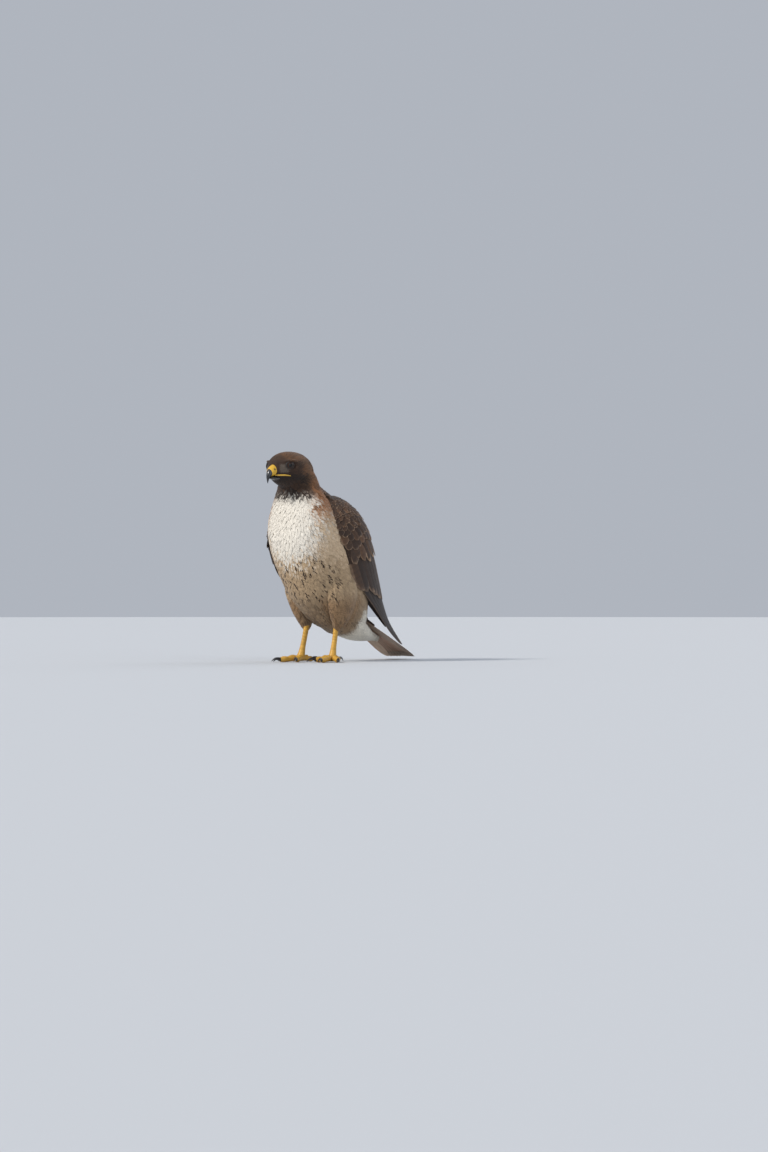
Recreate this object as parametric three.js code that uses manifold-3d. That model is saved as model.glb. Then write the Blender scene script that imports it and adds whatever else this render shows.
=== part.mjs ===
// A red-tailed hawk, life size, standing on level ground with its head turned a little to its right.
// Millimetres, +Z up. The bird faces -Y and its left side is +X.
// The origin is on the ground, under the middle of the bird's length.
import * as THREE from "three";
import { mergeVertices } from "three/addons/utils/BufferGeometryUtils.js";
import Module from "manifold-3d";

const wasm = await Module();
wasm.setup();

// Places on the bird are (left, forward, up), measured from the ground between its feet.
const FEET_AHEAD_OF_MIDDLE = 72.5;
const FIT_GAP = 0.3; // between pieces that touch
const GROUND = 0;

const UP = new THREE.Vector3(0, 0, 1);
const FORWARD = new THREE.Vector3(0, -1, 0);
const LEFT = new THREE.Vector3(1, 0, 0);
const at = (left, forward, up) => new THREE.Vector3(left, -forward - FEET_AHEAD_OF_MIDDLE, up);

// Torso and neck: each row is the belly line (forward, up), the back line (forward, up) and half the width.
const BODY = [
  [-122, 56, -130, 74, 9],
  [-108, 47, -124, 86, 22],
  [-80, 46, -112, 112, 37],
  [-42, 51, -102, 144, 51],
  [0, 68, -88, 182, 60],
  [38, 96, -72, 218, 64],
  [68, 134, -46, 250, 66],
  [87, 170, -12, 273, 65],
  [96, 204, 17, 287, 59],
  [95, 234, 30, 300, 50],
  [91, 258, 35, 314, 43],
  [90, 279, 40, 327, 37],
  [95, 298, 52, 336, 30],
];
const BODY_SIDES = 22;
const BODY_RINGS = 15;

// Head: each row is the distance ahead of its middle, crown height, throat height and half the width there.
const HEAD_MIDDLE = at(-4, 84, 325);
const HEAD_TURN = 7; // degrees to the bird's right
const HEAD = [
  [-46, 0, -9, 7],
  [-42, 11, -20, 19],
  [-31, 21.5, -29, 28.5],
  [-18, 27.5, -33, 33],
  [-2, 29, -33, 34],
  [11, 28, -31, 32.5],
  [21, 25, -26.5, 28.5],
  [29, 20, -21.5, 22.5],
  [35, 13, -18, 15.5],
  [40, 5, -15, 8],
];
const HEAD_SIDES = 18;
const HEAD_RINGS = 11;

const EYE = { ahead: 21.5, out: 20.2, up: 3.5, radius: 8 };
const EYE_LOOKS = [0.42, 0.9, -0.03]; // forward, outward, up
const SOCKET = { ahead: 22.5, out: 31.5, up: 3, radii: [6.2, 10.5, 7.6] };
const LID = { ring: 6.3, thick: 1.1, stands: 5 };
// The ridge over each eye: places ahead and up, and how far its middle stands out of the head.
const BROW = [
  [34, 8, -1.5],
  [28, 11.5, 0],
  [20, 12.6, 0.4],
  [10, 11.6, -1.5],
];
const BROW_RADII = [
  [1.4, 1.2],
  [2.6, 2.2],
  [2.6, 2.2],
  [1.2, 1.0],
];

// Bill: each row is the upper line (ahead, up), the lower line (ahead, up) and half the width.
const CERE = [
  [30, 4, 30, -13.6, 8],
  [34, 5, 34, -13.8, 9],
  [38, 4.6, 38, -13.9, 8.7],
  [41, 3, 41, -14, 7.9],
];
const HOOK = [
  [41.3, 2.8, 41.3, -14, 7.8],
  [45.5, 0.4, 44, -14.6, 6.9],
  [49.2, -4, 46.3, -15.6, 5.7],
  [51.8, -9.6, 48, -17.4, 4.3],
  [53, -15.6, 49.4, -20, 2.9],
  [52.8, -21.4, 50.2, -23.2, 1.6],
  [51.6, -26.6, 51, -26.8, 0.5],
];
const LOWER_BILL = [
  [27, -14.6, 27, -20.5, 9],
  [36, -14.4, 36, -20.6, 7.2],
  [42, -15, 41.5, -19.8, 5.2],
  [46.2, -16.6, 45.4, -18.8, 2.4],
];
const GAPE = { up: -13, aheads: [39, 34, 29, 24.5, 20.5], radii: [0.9, 1.2, 1.3, 1.2, 0.6] };
const NOSTRIL = { ahead: 37, up: -3.4, radii: [2.1, 1.6, 1.3] };

// Folded wing, from the bend to the tip: the lower edge and the upper edge (forward, up, out from the
// midline), and how far the wing bulges out between them.
const WING = [
  [46, 266, 46, 32, 282, 32, 4],
  [43, 240, 60, -4, 282, 28, 20],
  [34, 212, 67, -40, 266, 26, 31],
  [15, 182, 70, -74, 234, 24, 34],
  [-8, 146, 69, -104, 194, 21, 32],
  [-48, 106, 63, -134, 150, 16, 26],
  [-104, 77, 53, -164, 110, 11, 17],
  [-176, 46, 37, -200, 74, 9, 7],
  [-238, 24, 25, -245, 34, 17, 1.5],
];

// The right wing's lower edge is held further forward than the left one's, by this much along the wing.
const RIGHT_WING_REACH = [0, 10, 24, 34, 34, 12, 0, 0, 0];

// Tiers of wing vanes. Places along and across the wing run from 0 to 1; widths are half widths.
const TIERS = {
  greater: { count: 5, root: [0.28, 0.3], tip: [0.44, 0.52], across: [0.14, 0.92], half: 15, base: -0.2, step: 0.4 },
  secondary: { count: 5, root: [0.4, 0.42], tip: [0.6, 0.8], across: [0.14, 0.9], half: 16, base: -2.8, step: 0.5 },
  primary: { count: 5, root: [0.58, 0.62], tip: [1.0, 0.87], across: [0.3, 0.74], half: 9.5, base: -6.2, step: 0.6 },
};

const TAIL = {
  root: [-98, 83], // forward, up
  tip: [-281, 5.2],
  feathers: 12,
  rootSpacing: 1.6,
  tipSpacing: 4.8,
  halfWidth: 10,
  roofDrop: 4.2, // how far the sides hang below the middle
  stack: 0.55,
  thick: 1.2,
};

// Leg: places are forward and up; the foot stands this far out from the midline.
const LEG = {
  out: 30,
  thigh: [
    // forward, up, out, half width across, half depth
    [2, 148, 42, 22, 34],
    [-4, 125, 43, 24, 37],
    [-9, 101, 41, 21, 33],
    [-13, 79, 36.5, 15.5, 24],
    [-13, 62, 32, 8.8, 13],
    [-12, 54, 30.5, 5.6, 7],
  ],
  // What the right thigh, held closer under the body, adds to those rows.
  rightThigh: [
    [3, 0, -6, -3, -1],
    [3, 0, -6, -4, -1],
    [3, 0, -6, -4, -1],
    [3, 0, -4, -2, 0],
    [3, 0, -1, 0, 0],
    [3, 0, 0, 0, 0],
  ],
  tarsus: [
    [-14, 68, 4.6, 5.6],
    [-12, 56, 4.3, 5.2],
    [-8, 40, 4.2, 5],
    [-4, 26, 4.5, 5.2],
    [-1, 15, 6, 6.2],
    [1, 8, 7.4, 8],
    [2, 3.5, 6.5, 7.5],
  ],
  scutes: 5,
};
const TOES = [
  // name, degrees outward from straight ahead, length, radius at the root, claw length
  ["middle", 4, 45, 5.6, 19],
  ["inner", -30, 31, 5.6, 22],
  ["outer", 40, 35, 5.2, 16],
  ["hind", 184, 22, 5.4, 24],
];
const FOOT_TURN = 6; // degrees that the left foot points outward
const RIGHT_FOOT_AHEAD = 6;

// Smooth values between the rows of a table, for t from 0 to 1.
function along(rows, t) {
  const x = THREE.MathUtils.clamp(t, 0, 1) * (rows.length - 1);
  const i = Math.min(Math.floor(x), rows.length - 2);
  const k = x - i;
  const row = (j) => rows[THREE.MathUtils.clamp(j, 0, rows.length - 1)];
  return rows[0].map((_, c) => {
    const [a, b, d, e] = [row(i - 1)[c], row(i)[c], row(i + 1)[c], row(i + 2)[c]];
    return 0.5 * (2 * b + (d - a) * k + (2 * a - 5 * b + 4 * d - e) * k * k + (3 * b - a - 3 * d + e) * k ** 3);
  });
}

const turn = (degrees) => THREE.MathUtils.degToRad(degrees);
const mix = (a, b, t) => a + (b - a) * t;

// A small repeatable variation, from -1 to 1, for the nth of a row of like pieces.
function vary(n) {
  const x = Math.sin(n * 12.9898 + 4.1414) * 43758.5453;
  return 2 * (x - Math.floor(x)) - 1;
}

// A closed solid through rings of points, each ring with the same number, capped at both ends.
// alike: both faces of a thin six-sided vane are split into triangles the same way.
function loft(rings, alike = false) {
  const sides = rings[0].length;
  const points = rings.flat();
  const faces = [];
  for (let r = 0; r + 1 < rings.length; r++)
    for (let s = 0; s < sides; s++) {
      const a = r * sides + s;
      const b = r * sides + ((s + 1) % sides);
      const [c, d] = [b + sides, a + sides];
      if (alike && s >= sides / 2) faces.push([a, b, d], [b, c, d]);
      else faces.push([a, b, c], [a, c, d]);
    }
  for (const [first, flip] of [[0, true], [(rings.length - 1) * sides, false]]) {
    const cap = (...spots) => faces.push((flip ? spots.reverse() : spots).map((spot) => first + spot));
    for (let j = 0; j < sides - 2 - j; j++) {
      const far = sides - 2 - j;
      if (j + 1 < far) cap(j, j + 1, far);
      cap(j, far, far + 1);
    }
  }
  const volume = faces.reduce(
    (sum, [a, b, c]) => sum + points[a].dot(new THREE.Vector3().crossVectors(points[b], points[c])),
    0,
  );
  return new wasm.Manifold(
    new wasm.Mesh({
      numProp: 3,
      vertProperties: new Float32Array(points.flatMap((p) => [p.x, p.y, p.z])),
      triVerts: new Uint32Array(faces.flatMap(([a, b, c]) => (volume > 0 ? [a, b, c] : [a, c, b]))),
    }),
  );
}

// One of three.js's closed shapes as a solid.
function solid(geometry) {
  const bare = geometry.clone();
  bare.deleteAttribute("normal");
  bare.deleteAttribute("uv");
  const merged = mergeVertices(bare, 1e-4);
  return new wasm.Manifold(
    new wasm.Mesh({
      numProp: 3,
      vertProperties: merged.attributes.position.array,
      triVerts: new Uint32Array(merged.index.array),
    }),
  );
}

const union = (solids) => solids.reduce((a, b) => a.add(b));

// The largest closed surface that is left of a solid.
function largest(whole) {
  return whole.decompose().reduce((a, b) => (b.volume() > a.volume() ? b : a));
}

const carve = (whole, tools) => largest(tools.reduce((a, b) => a.subtract(b), whole));

// The part of a solid that lies on the side of a plane that its direction points to.
function beyond(whole, point, direction) {
  const size = 800;
  const block = new THREE.BoxGeometry(size, size, size);
  const away = direction.clone().normalize();
  block.applyQuaternion(new THREE.Quaternion().setFromUnitVectors(UP, away));
  const middle = point.clone().addScaledVector(away, FIT_GAP / 2 - size / 2);
  return whole.subtract(solid(block.translate(...middle.toArray())));
}

const ring = (sides, place) =>
  Array.from({ length: sides }, (_, k) => {
    const angle = (2 * Math.PI * k) / sides;
    return place(Math.cos(angle), Math.sin(angle));
  });

// A tube along points, with a pair of radii at each: across, and towards the reference direction.
function tube(path, radii, sides, reference = UP) {
  return loft(
    path.map((p, i) => {
      const ahead = path[Math.min(i + 1, path.length - 1)].clone().sub(path[Math.max(i - 1, 0)]).normalize();
      const across = new THREE.Vector3().crossVectors(ahead, reference).normalize();
      const over = new THREE.Vector3().crossVectors(across, ahead);
      return ring(sides, (c, s) =>
        p.clone().addScaledVector(across, c * radii[i][0]).addScaledVector(over, s * radii[i][1]),
      );
    }),
  );
}

function ball(middle, radii, columns = 8, rows = 6) {
  const shape = new THREE.SphereGeometry(1, columns, rows).rotateX(Math.PI / 2).scale(...radii);
  return solid(shape.translate(...middle.toArray()));
}

// Torso and neck.
function body(grow = 0) {
  const rings = Array.from({ length: BODY_RINGS }, (_, i) => {
    const [lowF, lowU, highF, highU, half] = along(BODY, i / (BODY_RINGS - 1));
    const middle = at(0, (lowF + highF) / 2, (lowU + highU) / 2);
    const over = at(0, highF, highU).sub(middle);
    over.setLength(over.length() + grow);
    return ring(BODY_SIDES, (c, s) => middle.clone().addScaledVector(over, s).addScaledVector(LEFT, c * (half + grow)));
  });
  rings[0].forEach((p) => p.addScaledVector(FORWARD, -grow));
  return loft(rings);
}

// A place on the head: ahead of its middle, out to its left, and up.
const headAhead = FORWARD.clone().applyAxisAngle(UP, -turn(HEAD_TURN));
const headLeft = new THREE.Vector3().crossVectors(UP, headAhead);
const onHead = (ahead, out, up) =>
  HEAD_MIDDLE.clone().addScaledVector(headAhead, ahead).addScaledVector(headLeft, out).addScaledVector(UP, up);

// Half the head's width at a distance ahead and a height.
function headSide(ahead, up) {
  const t = HEAD.findIndex((row) => row[0] >= ahead);
  const [a, b] = [HEAD[t - 1], HEAD[t]];
  const k = (ahead - a[0]) / (b[0] - a[0]);
  const [crown, throat, half] = [1, 2, 3].map((c) => mix(a[c], b[c], k));
  const tall = (crown - throat) / 2;
  return half * Math.sqrt(Math.max(0, 1 - ((up - (crown + throat) / 2) / tall) ** 2));
}

function headForm() {
  const rings = Array.from({ length: HEAD_RINGS }, (_, i) => {
    const [ahead, crown, throat, half] = along(HEAD, i / (HEAD_RINGS - 1));
    const [middle, tall] = [(crown + throat) / 2, (crown - throat) / 2];
    return ring(HEAD_SIDES, (c, s) => onHead(ahead, half * c, middle + tall * s));
  });
  return loft(rings);
}

// A piece of the bill through rows of upper line, lower line and half width.
function billForm(rows, grow = 0, sides = 12) {
  return loft(
    rows.map(([topA, topU, lowA, lowU, half], i) => {
      const end = i === 0 ? -grow : i === rows.length - 1 ? grow : 0;
      const middle = onHead((topA + lowA) / 2 + end, 0, (topU + lowU) / 2);
      const over = onHead(topA + end, 0, topU).sub(middle);
      over.setLength(over.length() + grow);
      return ring(sides, (c, s) =>
        middle.clone().addScaledVector(over, s).addScaledVector(headLeft, c * (half + grow) * (1 - 0.18 * Math.max(s, 0))),
      );
    }),
  );
}

function eye(side, grow = 0) {
  return ball(onHead(EYE.ahead, side * EYE.out, EYE.up), Array(3).fill(EYE.radius + grow), 10, 8);
}

function eyeLooks(side) {
  return onHead(EYE_LOOKS[0], side * EYE_LOOKS[1], EYE_LOOKS[2]).sub(HEAD_MIDDLE).normalize();
}

function lid(side) {
  const shape = new THREE.TorusGeometry(LID.ring, LID.thick, 4, 10);
  shape.applyQuaternion(new THREE.Quaternion().setFromUnitVectors(UP, eyeLooks(side)));
  const place = onHead(EYE.ahead, side * EYE.out, EYE.up).addScaledVector(eyeLooks(side), LID.stands);
  return solid(shape.translate(...place.toArray()));
}

const brow = (side) => tube(BROW.map(([a, u, out]) => onHead(a, side * (headSide(a, u) + out), u)), BROW_RADII, 7);

const socket = (side) => ball(onHead(SOCKET.ahead, side * SOCKET.out, SOCKET.up), SOCKET.radii);

// The yellow edge of the mouth, which runs back from the cere to below the eye.
function gape(side, grow = 0) {
  const path = GAPE.aheads.map((a) => onHead(a, side * headSide(a, GAPE.up), GAPE.up));
  return tube(path, GAPE.radii.map((r) => [r + grow, r + grow]), 6);
}

function nostril(side) {
  return ball(onHead(NOSTRIL.ahead, side * (CERE[2][4] - 0.9), NOSTRIL.up), NOSTRIL.radii, 10, 6);
}

const cereForm = (grow = 0) => union([billForm(CERE, grow), gape(1, grow), gape(-1, grow)]);

// A folded wing's outer face: u runs from the bend to the tip, v from the lower to the upper edge.
const wing = (side) => {
  const rows = WING.map(([low, ...rest], i) => [low + (side < 0 ? RIGHT_WING_REACH[i] : 0), ...rest]);
  const face = (u, v) => {
    const [lf, lu, lo, hf, hu, ho, bulge] = along(rows, u);
    const low = at(side * lo, lf, lu);
    const high = at(side * ho, hf, hu);
    const chord = high.clone().sub(low);
    const next = along(rows, u + 0.02);
    const back = along(rows, u - 0.02);
    const ahead = at(0, next[0] + next[3], next[1] + next[4]).sub(at(0, back[0] + back[3], back[1] + back[4]));
    const out = new THREE.Vector3().crossVectors(chord, ahead).normalize().multiplyScalar(side);
    if (out.x * side < 0) out.negate();
    const bow = bulge * Math.sin(Math.PI * THREE.MathUtils.clamp(v, 0, 1));
    return { outer: low.clone().addScaledVector(chord, v).addScaledVector(out, bow), flat: low.addScaledVector(chord, v), out };
  };
  const point = (u, v, n) => {
    const e = 0.01;
    const du = face(u + e, v).outer.sub(face(u - e, v).outer);
    const dv = face(u, v + e).outer.sub(face(u, v - e).outer);
    const normal = new THREE.Vector3().crossVectors(du, dv).normalize();
    if (normal.x * side < 0) normal.negate();
    return face(u, v).outer.addScaledVector(normal, n);
  };
  const inner = (u, v, n) => {
    const { flat, out } = face(u, v);
    return flat.addScaledVector(out, n);
  };
  const width = (u) => {
    const [lf, lu, lo, hf, hu, ho, bulge] = along(rows, u);
    return at(lo, lf, lu).distanceTo(at(ho, hf, hu)) + 1.3 * bulge;
  };
  return { point, inner, width };
};

// The tail's upper face: u runs from root to tip, and v is in millimetres out from the midline.
const tailFace = {
  point(u, v, n) {
    const [f, z] = [mix(TAIL.root[0], TAIL.tip[0], u), mix(TAIL.root[1], TAIL.tip[1], u)];
    const away = at(0, TAIL.tip[0], TAIL.tip[1]).sub(at(0, TAIL.root[0], TAIL.root[1])).normalize();
    const normal = new THREE.Vector3().crossVectors(LEFT, away).normalize();
    if (normal.z < 0) normal.negate();
    const edge = TAIL.tipSpacing * (TAIL.feathers / 2) + TAIL.halfWidth;
    return at(v, f, z).addScaledVector(normal, n - TAIL.roofDrop * (v / edge) ** 2);
  },
  width: () => 1,
};

// Half widths of a vane from root to tip, as shares of its widest.
const VANE = [
  [0, 0.7],
  [0.5, 1],
  [0.86, 0.86],
  [1, 0.34],
];

// One feather vane on a face: it runs from one place to another, n above it at root and tip.
function vane(face, { from, to, half, heights, thick = 1.1, grow = 0 }) {
  const rings = VANE.map(([t, share]) => {
    const [u, v] = [mix(from[0], to[0], t), mix(from[1], to[1], t)];
    const reach = (half * share + grow) / face.width(u);
    const n = mix(heights[0], heights[1], t);
    const [under, over] = [n - grow, n + thick * mix(1, 0.6, t) + grow];
    return [
      face.point(u, v - reach, over - 0.15),
      face.point(u, v, over + 0.25),
      face.point(u, v + reach, over - 0.15),
      face.point(u, v + reach, under),
      face.point(u, v, under),
      face.point(u, v - reach, under),
    ];
  });
  if (grow > 0) {
    const out = rings.at(-1)[4].clone().sub(rings.at(-2)[4]).setLength(grow);
    rings.at(-1).forEach((p) => p.add(out));
  }
  return loft(rings, true);
}

// A plate under a face: its inner side lies at a depth under the face, or under its flat base if it has one.
function slab(face, [u0, u1], [v0, v1], [deep0, deep1], top, grow = 0, steps = 8, columns = 6) {
  const rings = Array.from({ length: steps + 1 }, (_, i) => {
    const t = i / steps;
    const u = mix(u0, u1, t) + (i === 0 ? -grow : i === steps ? grow : 0) * 0.006;
    const edge = grow / face.width(u);
    const deep = mix(deep0, deep1, t);
    const row = (place, n) =>
      Array.from({ length: columns + 1 }, (_, k) => place(u, mix(v0 - edge, v1 + edge, k / columns), n));
    return [...row(face.point, top + grow), ...row(face.inner ?? face.point, deep - grow).reverse()];
  });
  return loft(rings);
}

// One tier of a folded wing's vanes, each a little higher on the wing than the one before.
function tier(side, { count, root, tip, across, half, base, step }, grow = 0) {
  const face = wing(side);
  return Array.from({ length: count }, (_, k) => {
    const share = k / (count - 1);
    const v = mix(across[0], across[1], share);
    return vane(face, {
      from: [mix(root[0], root[1], share), v],
      to: [mix(tip[0], tip[1], share) + 0.006 * vary(k), v + 0.01 * vary(k + 5)],
      half: half * (1 + 0.05 * vary(k + 9)),
      heights: [base + step * k - 1.6, base + step * k],
      grow,
    });
  });
}

// The shoulder and its coverts.
function wingCoverts(side, grow = 0) {
  const core = slab(wing(side), [0.0, 0.4], [0.02, 0.98], [-12, -10], 0, grow, 6, 5);
  return union([core, ...tier(side, TIERS.greater, grow)]);
}

function wingSecondaries(side, grow = 0) {
  const core = slab(wing(side), [0.33, 0.6], [0.04, 0.97], [-10, -4], -2.2, grow, 4, 5);
  return union([core, ...tier(side, TIERS.secondary, grow)]);
}

// The long outer feathers, which narrow to the wing tip.
function wingPrimaries(side, grow = 0) {
  const face = wing(side);
  const core = slab(face, [0.5, 0.72], [0.04, 0.8], [-5, -3], -4.2, grow, 3, 4);
  const { count, root, tip, across, half, base, step } = TIERS.primary;
  const vanes = Array.from({ length: count }, (_, k) => {
    const share = k / (count - 1);
    return vane(face, {
      from: [mix(root[0], root[1], share), mix(0.1, 0.7, share)],
      to: [mix(tip[0], tip[1], share) - 0.004, mix(across[0], across[1], share)],
      half: half * mix(0.85, 1.15, share),
      heights: [base + step * k + 0.6, base + step * k * 0.55 + 3.2],
      grow,
    });
  });
  return union([core, ...vanes]);
}

// The back: u runs down from the neck's root, and v is in degrees out from the spine.
const backFace = (side) => ({
  point(u, v, n) {
    const [lowF, lowU, highF, highU, half] = along(BODY, mix(0.8, 0.2, u));
    const middle = at(0, (lowF + highF) / 2, (lowU + highU) / 2);
    const over = at(0, highF, highU).sub(middle);
    const [c, s] = [Math.sin(turn(v)), Math.cos(turn(v))];
    const spot = over.clone().multiplyScalar(s).addScaledVector(LEFT, side * c * half);
    return middle.add(spot).addScaledVector(spot.clone().normalize(), n);
  },
  width: () => 1.15,
});

// The scapulars: broad vanes beside the spine, over the wing's upper edge.
function scapulars(side, grow = 0) {
  const face = backFace(side);
  const core = slab(face, [0.02, 0.56], [9, 44], [-2, -2], 9, grow, 5, 3);
  const places = [
    [0.2, 34],
    [0.36, 16],
    [0.44, 32],
  ];
  const vanes = places.map(([u, v], k) =>
    vane(face, {
      from: [u, v],
      to: [u + 0.3, v],
      half: 16,
      heights: [7.5, 10.5 - 0.4 * k],
      grow,
    }),
  );
  return union([core, ...vanes]);
}

function tail(grow = 0) {
  const places = Array.from({ length: TAIL.feathers }, (_, k) => k - (TAIL.feathers - 1) / 2);
  const vanes = places.map((k) =>
    vane(tailFace, {
      from: [0, k * TAIL.rootSpacing],
      to: [1 - 0.0035 * Math.abs(k) ** 1.6, k * TAIL.tipSpacing],
      half: TAIL.halfWidth,
      heights: [-Math.abs(k) * TAIL.stack * 0.6, -Math.abs(k) * TAIL.stack],
      thick: TAIL.thick,
      grow,
    }),
  );
  const root = slab(tailFace, [0, 0.4], [-15, 15], [-4.2, -3.4], -0.2, grow, 3, 2);
  return union([root, ...vanes]);
}

// Long coverts over and under the tail's root.
function upperTailCoverts(grow = 0) {
  const core = slab(tailFace, [-0.08, 0.1], [-17, 17], [-1, -0.6], 4.5, grow, 3, 4);
  const vanes = [0, 1].flatMap((row) =>
    Array.from({ length: 4 - row }, (_, k) => {
      const v = (k - (3 - row) / 2) * 10;
      return vane(tailFace, {
        from: [-0.04, v * 0.8],
        to: [0.34 - 0.13 * row - 0.0035 * Math.abs(v) + 0.01 * vary(k), v],
        half: 8.5,
        heights: [2.6 + 1.1 * row, 1.7 + 1.1 * row],
        grow,
      });
    }),
  );
  return union([core, ...vanes]);
}

function underTailCoverts(grow = 0) {
  const rows = [
    [-56, 47, -70, 84, 37],
    [-84, 41, -98, 80, 34],
    [-114, 35, -124, 68, 28],
    [-140, 31, -146, 57, 21],
    [-160, 30, -162, 46, 12],
  ];
  const core = loft(
    Array.from({ length: 6 }, (_, i) => {
      const [lf, lu, hf, hu, half] = along(rows, i / 5);
      const middle = at(0, (lf + hf) / 2, (lu + hu) / 2);
      const over = at(0, hf, hu).sub(middle);
      return ring(10, (c, s) =>
        middle.clone().addScaledVector(over, s * (1 + grow / over.length())).addScaledVector(LEFT, c * (half + grow)),
      );
    }),
  );
  const vanes = [-18, 0, 18].map((v) =>
    vane(tailFace, {
      from: [0.2, v * 0.7],
      to: [0.5 - 0.0025 * Math.abs(v), v],
      half: 13,
      heights: [-9, -6.2],
      grow,
    }),
  );
  return union([core, ...vanes]);
}

// Legs. A foot's own frame: ahead along the toes, out from the bird's midline, and up.
function footPlace(side) {
  const spin = turn(side > 0 ? FOOT_TURN : FOOT_TURN + 4) * side;
  const start = side > 0 ? 0 : RIGHT_FOOT_AHEAD;
  const ahead = FORWARD.clone().applyAxisAngle(UP, spin);
  const out = new THREE.Vector3().crossVectors(UP, ahead).multiplyScalar(side);
  return (a, o, u) =>
    at(side * LEG.out, start, u).addScaledVector(ahead, a).addScaledVector(out, o);
}

function thigh(side, grow = 0) {
  const table = LEG.thigh.map((row, i) => row.map((x, k) => x + (side < 0 ? LEG.rightThigh[i][k] : 0)));
  const rows = Array.from({ length: 7 }, (_, i) => along(table, i / 6));
  return tube(
    rows.map(([f, u, o]) => at(side * o, f, u - (u === rows.at(-1)[1] ? grow : 0))),
    rows.map(([, , , across, deep]) => [across + grow, deep + grow]),
    14,
    FORWARD,
  );
}

function tarsus(side, grow = 0) {
  const place = footPlace(side);
  const rows = Array.from({ length: 8 }, (_, i) => along(LEG.tarsus, i / 7));
  const shaft = tube(
    rows.map(([a, u]) => place(a, 0, u)),
    rows.map(([, , across, deep]) => [across + grow, deep + grow]),
    10,
    FORWARD,
  );
  const plates = Array.from({ length: LEG.scutes }, (_, k) => {
    const [a, u, across, deep] = along(LEG.tarsus, mix(0.12, 0.72, k / (LEG.scutes - 1)));
    return tube(
      [place(a + 0.75, 0, u + 2.9), place(a + 1.2, 0, u - 2.5)],
      [[across * 0.88 + grow, deep * 0.9 + grow], [across * 0.96 + grow, deep + grow]],
      6,
      FORWARD,
    );
  });
  return union([shaft, ...plates]);
}

// A toe's middle line at a share of its length, and its radius there, swelling under each joint.
function toeLine(side, [, spread, length, radius]) {
  const place = footPlace(side);
  const angle = turn(spread);
  return (t) => {
    const reach = 3 + t * length;
    const r = mix(radius, radius * 0.78, t) + 0.45 * Math.cos(t * Math.PI * 5);
    const high = r * 0.93 + 2.2 * Math.sin(Math.PI * t) * (1 - t) + (1 - t) ** 3 * 1.5;
    return { p: place(Math.cos(angle) * reach, Math.sin(angle) * reach, high), r };
  };
}

function toe(side, kind, grow = 0) {
  const line = toeLine(side, kind);
  const steps = 5;
  const spots = Array.from({ length: steps + 1 }, (_, i) => line(i / steps));
  const shaft = tube(
    spots.map((s) => s.p),
    spots.map(({ r }, i) => Array(2).fill(r * (i === steps ? 0.72 : 1) + grow)),
    6,
  );
  const count = Math.round(kind[2] / 14);
  const plates = Array.from({ length: count }, (_, k) => {
    const t = mix(0.4, 0.9, k / (count - 1));
    const [a, b] = [line(t - 0.055), line(t + 0.055)];
    return tube(
      [a.p.addScaledVector(UP, 0.5), b.p.addScaledVector(UP, 0.95)],
      [Array(2).fill(a.r * 0.8 + grow), Array(2).fill(b.r * 0.86 + grow)],
      6,
    );
  });
  return union([shaft, ...plates]);
}

// A claw leaves its toe a little upward and curls down to a point just clear of the ground.
function claw(side, kind, grow = 0) {
  const line = toeLine(side, kind);
  const [end, before] = [line(0.97), line(0.9)];
  const ahead = end.p.clone().sub(before.p).setZ(0).normalize();
  const [rise, fall] = [turn(26), turn(-62)];
  const curl = kind[4] / (rise - fall);
  const steps = 4;
  const path = Array.from({ length: steps + 1 }, (_, i) => {
    const angle = mix(rise, fall, i / steps);
    return end.p
      .clone()
      .addScaledVector(ahead, curl * (Math.sin(rise) - Math.sin(angle)))
      .addScaledVector(UP, curl * (Math.cos(angle) - Math.cos(rise)) + 0.6);
  });
  const low = path.at(-1).z - 1.2;
  path.forEach((p, i) => p.addScaledVector(UP, Math.max(0, -low) * (i / steps)));
  return tube(
    path,
    path.map((_, i) => [mix(2.6, 0.35, (i / steps) ** 1.2) + grow, mix(3.4, 0.4, i / steps) + grow]),
    5,
  );
}

const above = (whole) => beyond(whole, at(0, 0, GROUND - FIT_GAP / 2), UP);

const FINISH = {
  crown: [0x5a3c28, 0.9],
  breast: [0xd9cdb6, 0.95],
  belly: [0xb79d7c, 0.95],
  back: [0x4a3426, 0.85],
  wing: [0x4d382b, 0.8],
  flight: [0x33261f, 0.75],
  tail: [0x9c5a38, 0.8],
  white: [0xd8d2c2, 0.95],
  thigh: [0xc09b72, 0.95],
  yellow: [0xe0a92b, 0.5],
  horn: [0x23211f, 0.35],
  eye: [0x140c08, 0.08],
};

const hawk = new THREE.Group();

function show(name, whole, finish) {
  const mesh = whole.getMesh();
  const [step, count] = [mesh.numProp, mesh.numVert];
  const spots = new Float32Array(count * 3);
  for (let i = 0; i < count; i++) spots.set(mesh.vertProperties.subarray(i * step, i * step + 3), i * 3);
  const geometry = new THREE.BufferGeometry();
  geometry.setAttribute("position", new THREE.BufferAttribute(spots, 3));
  geometry.setIndex(new THREE.BufferAttribute(mesh.triVerts, 1));
  geometry.computeVertexNormals();
  const [color, roughness] = FINISH[finish];
  const shown = new THREE.Mesh(geometry, new THREE.MeshStandardMaterial({ color, roughness, metalness: 0 }));
  shown.name = name;
  hawk.add(shown);
}

const SIDES = [["left", 1], ["right", -1]];

// Head and bill.
const eyes = SIDES.map(([, side]) => eye(side, FIT_GAP));
const cere = carve(cereForm(), [billForm(HOOK, FIT_GAP), nostril(1), nostril(-1)]);
const lowerBill = carve(billForm(LOWER_BILL), [billForm(HOOK, FIT_GAP), cereForm(FIT_GAP)]);
SIDES.forEach(([name, side]) => show(`eye_${name}`, eye(side), "eye"));
show("bill_upper", billForm(HOOK), "horn");
show("bill_lower", lowerBill, "horn");
show("cere", cere, "yellow");

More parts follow.
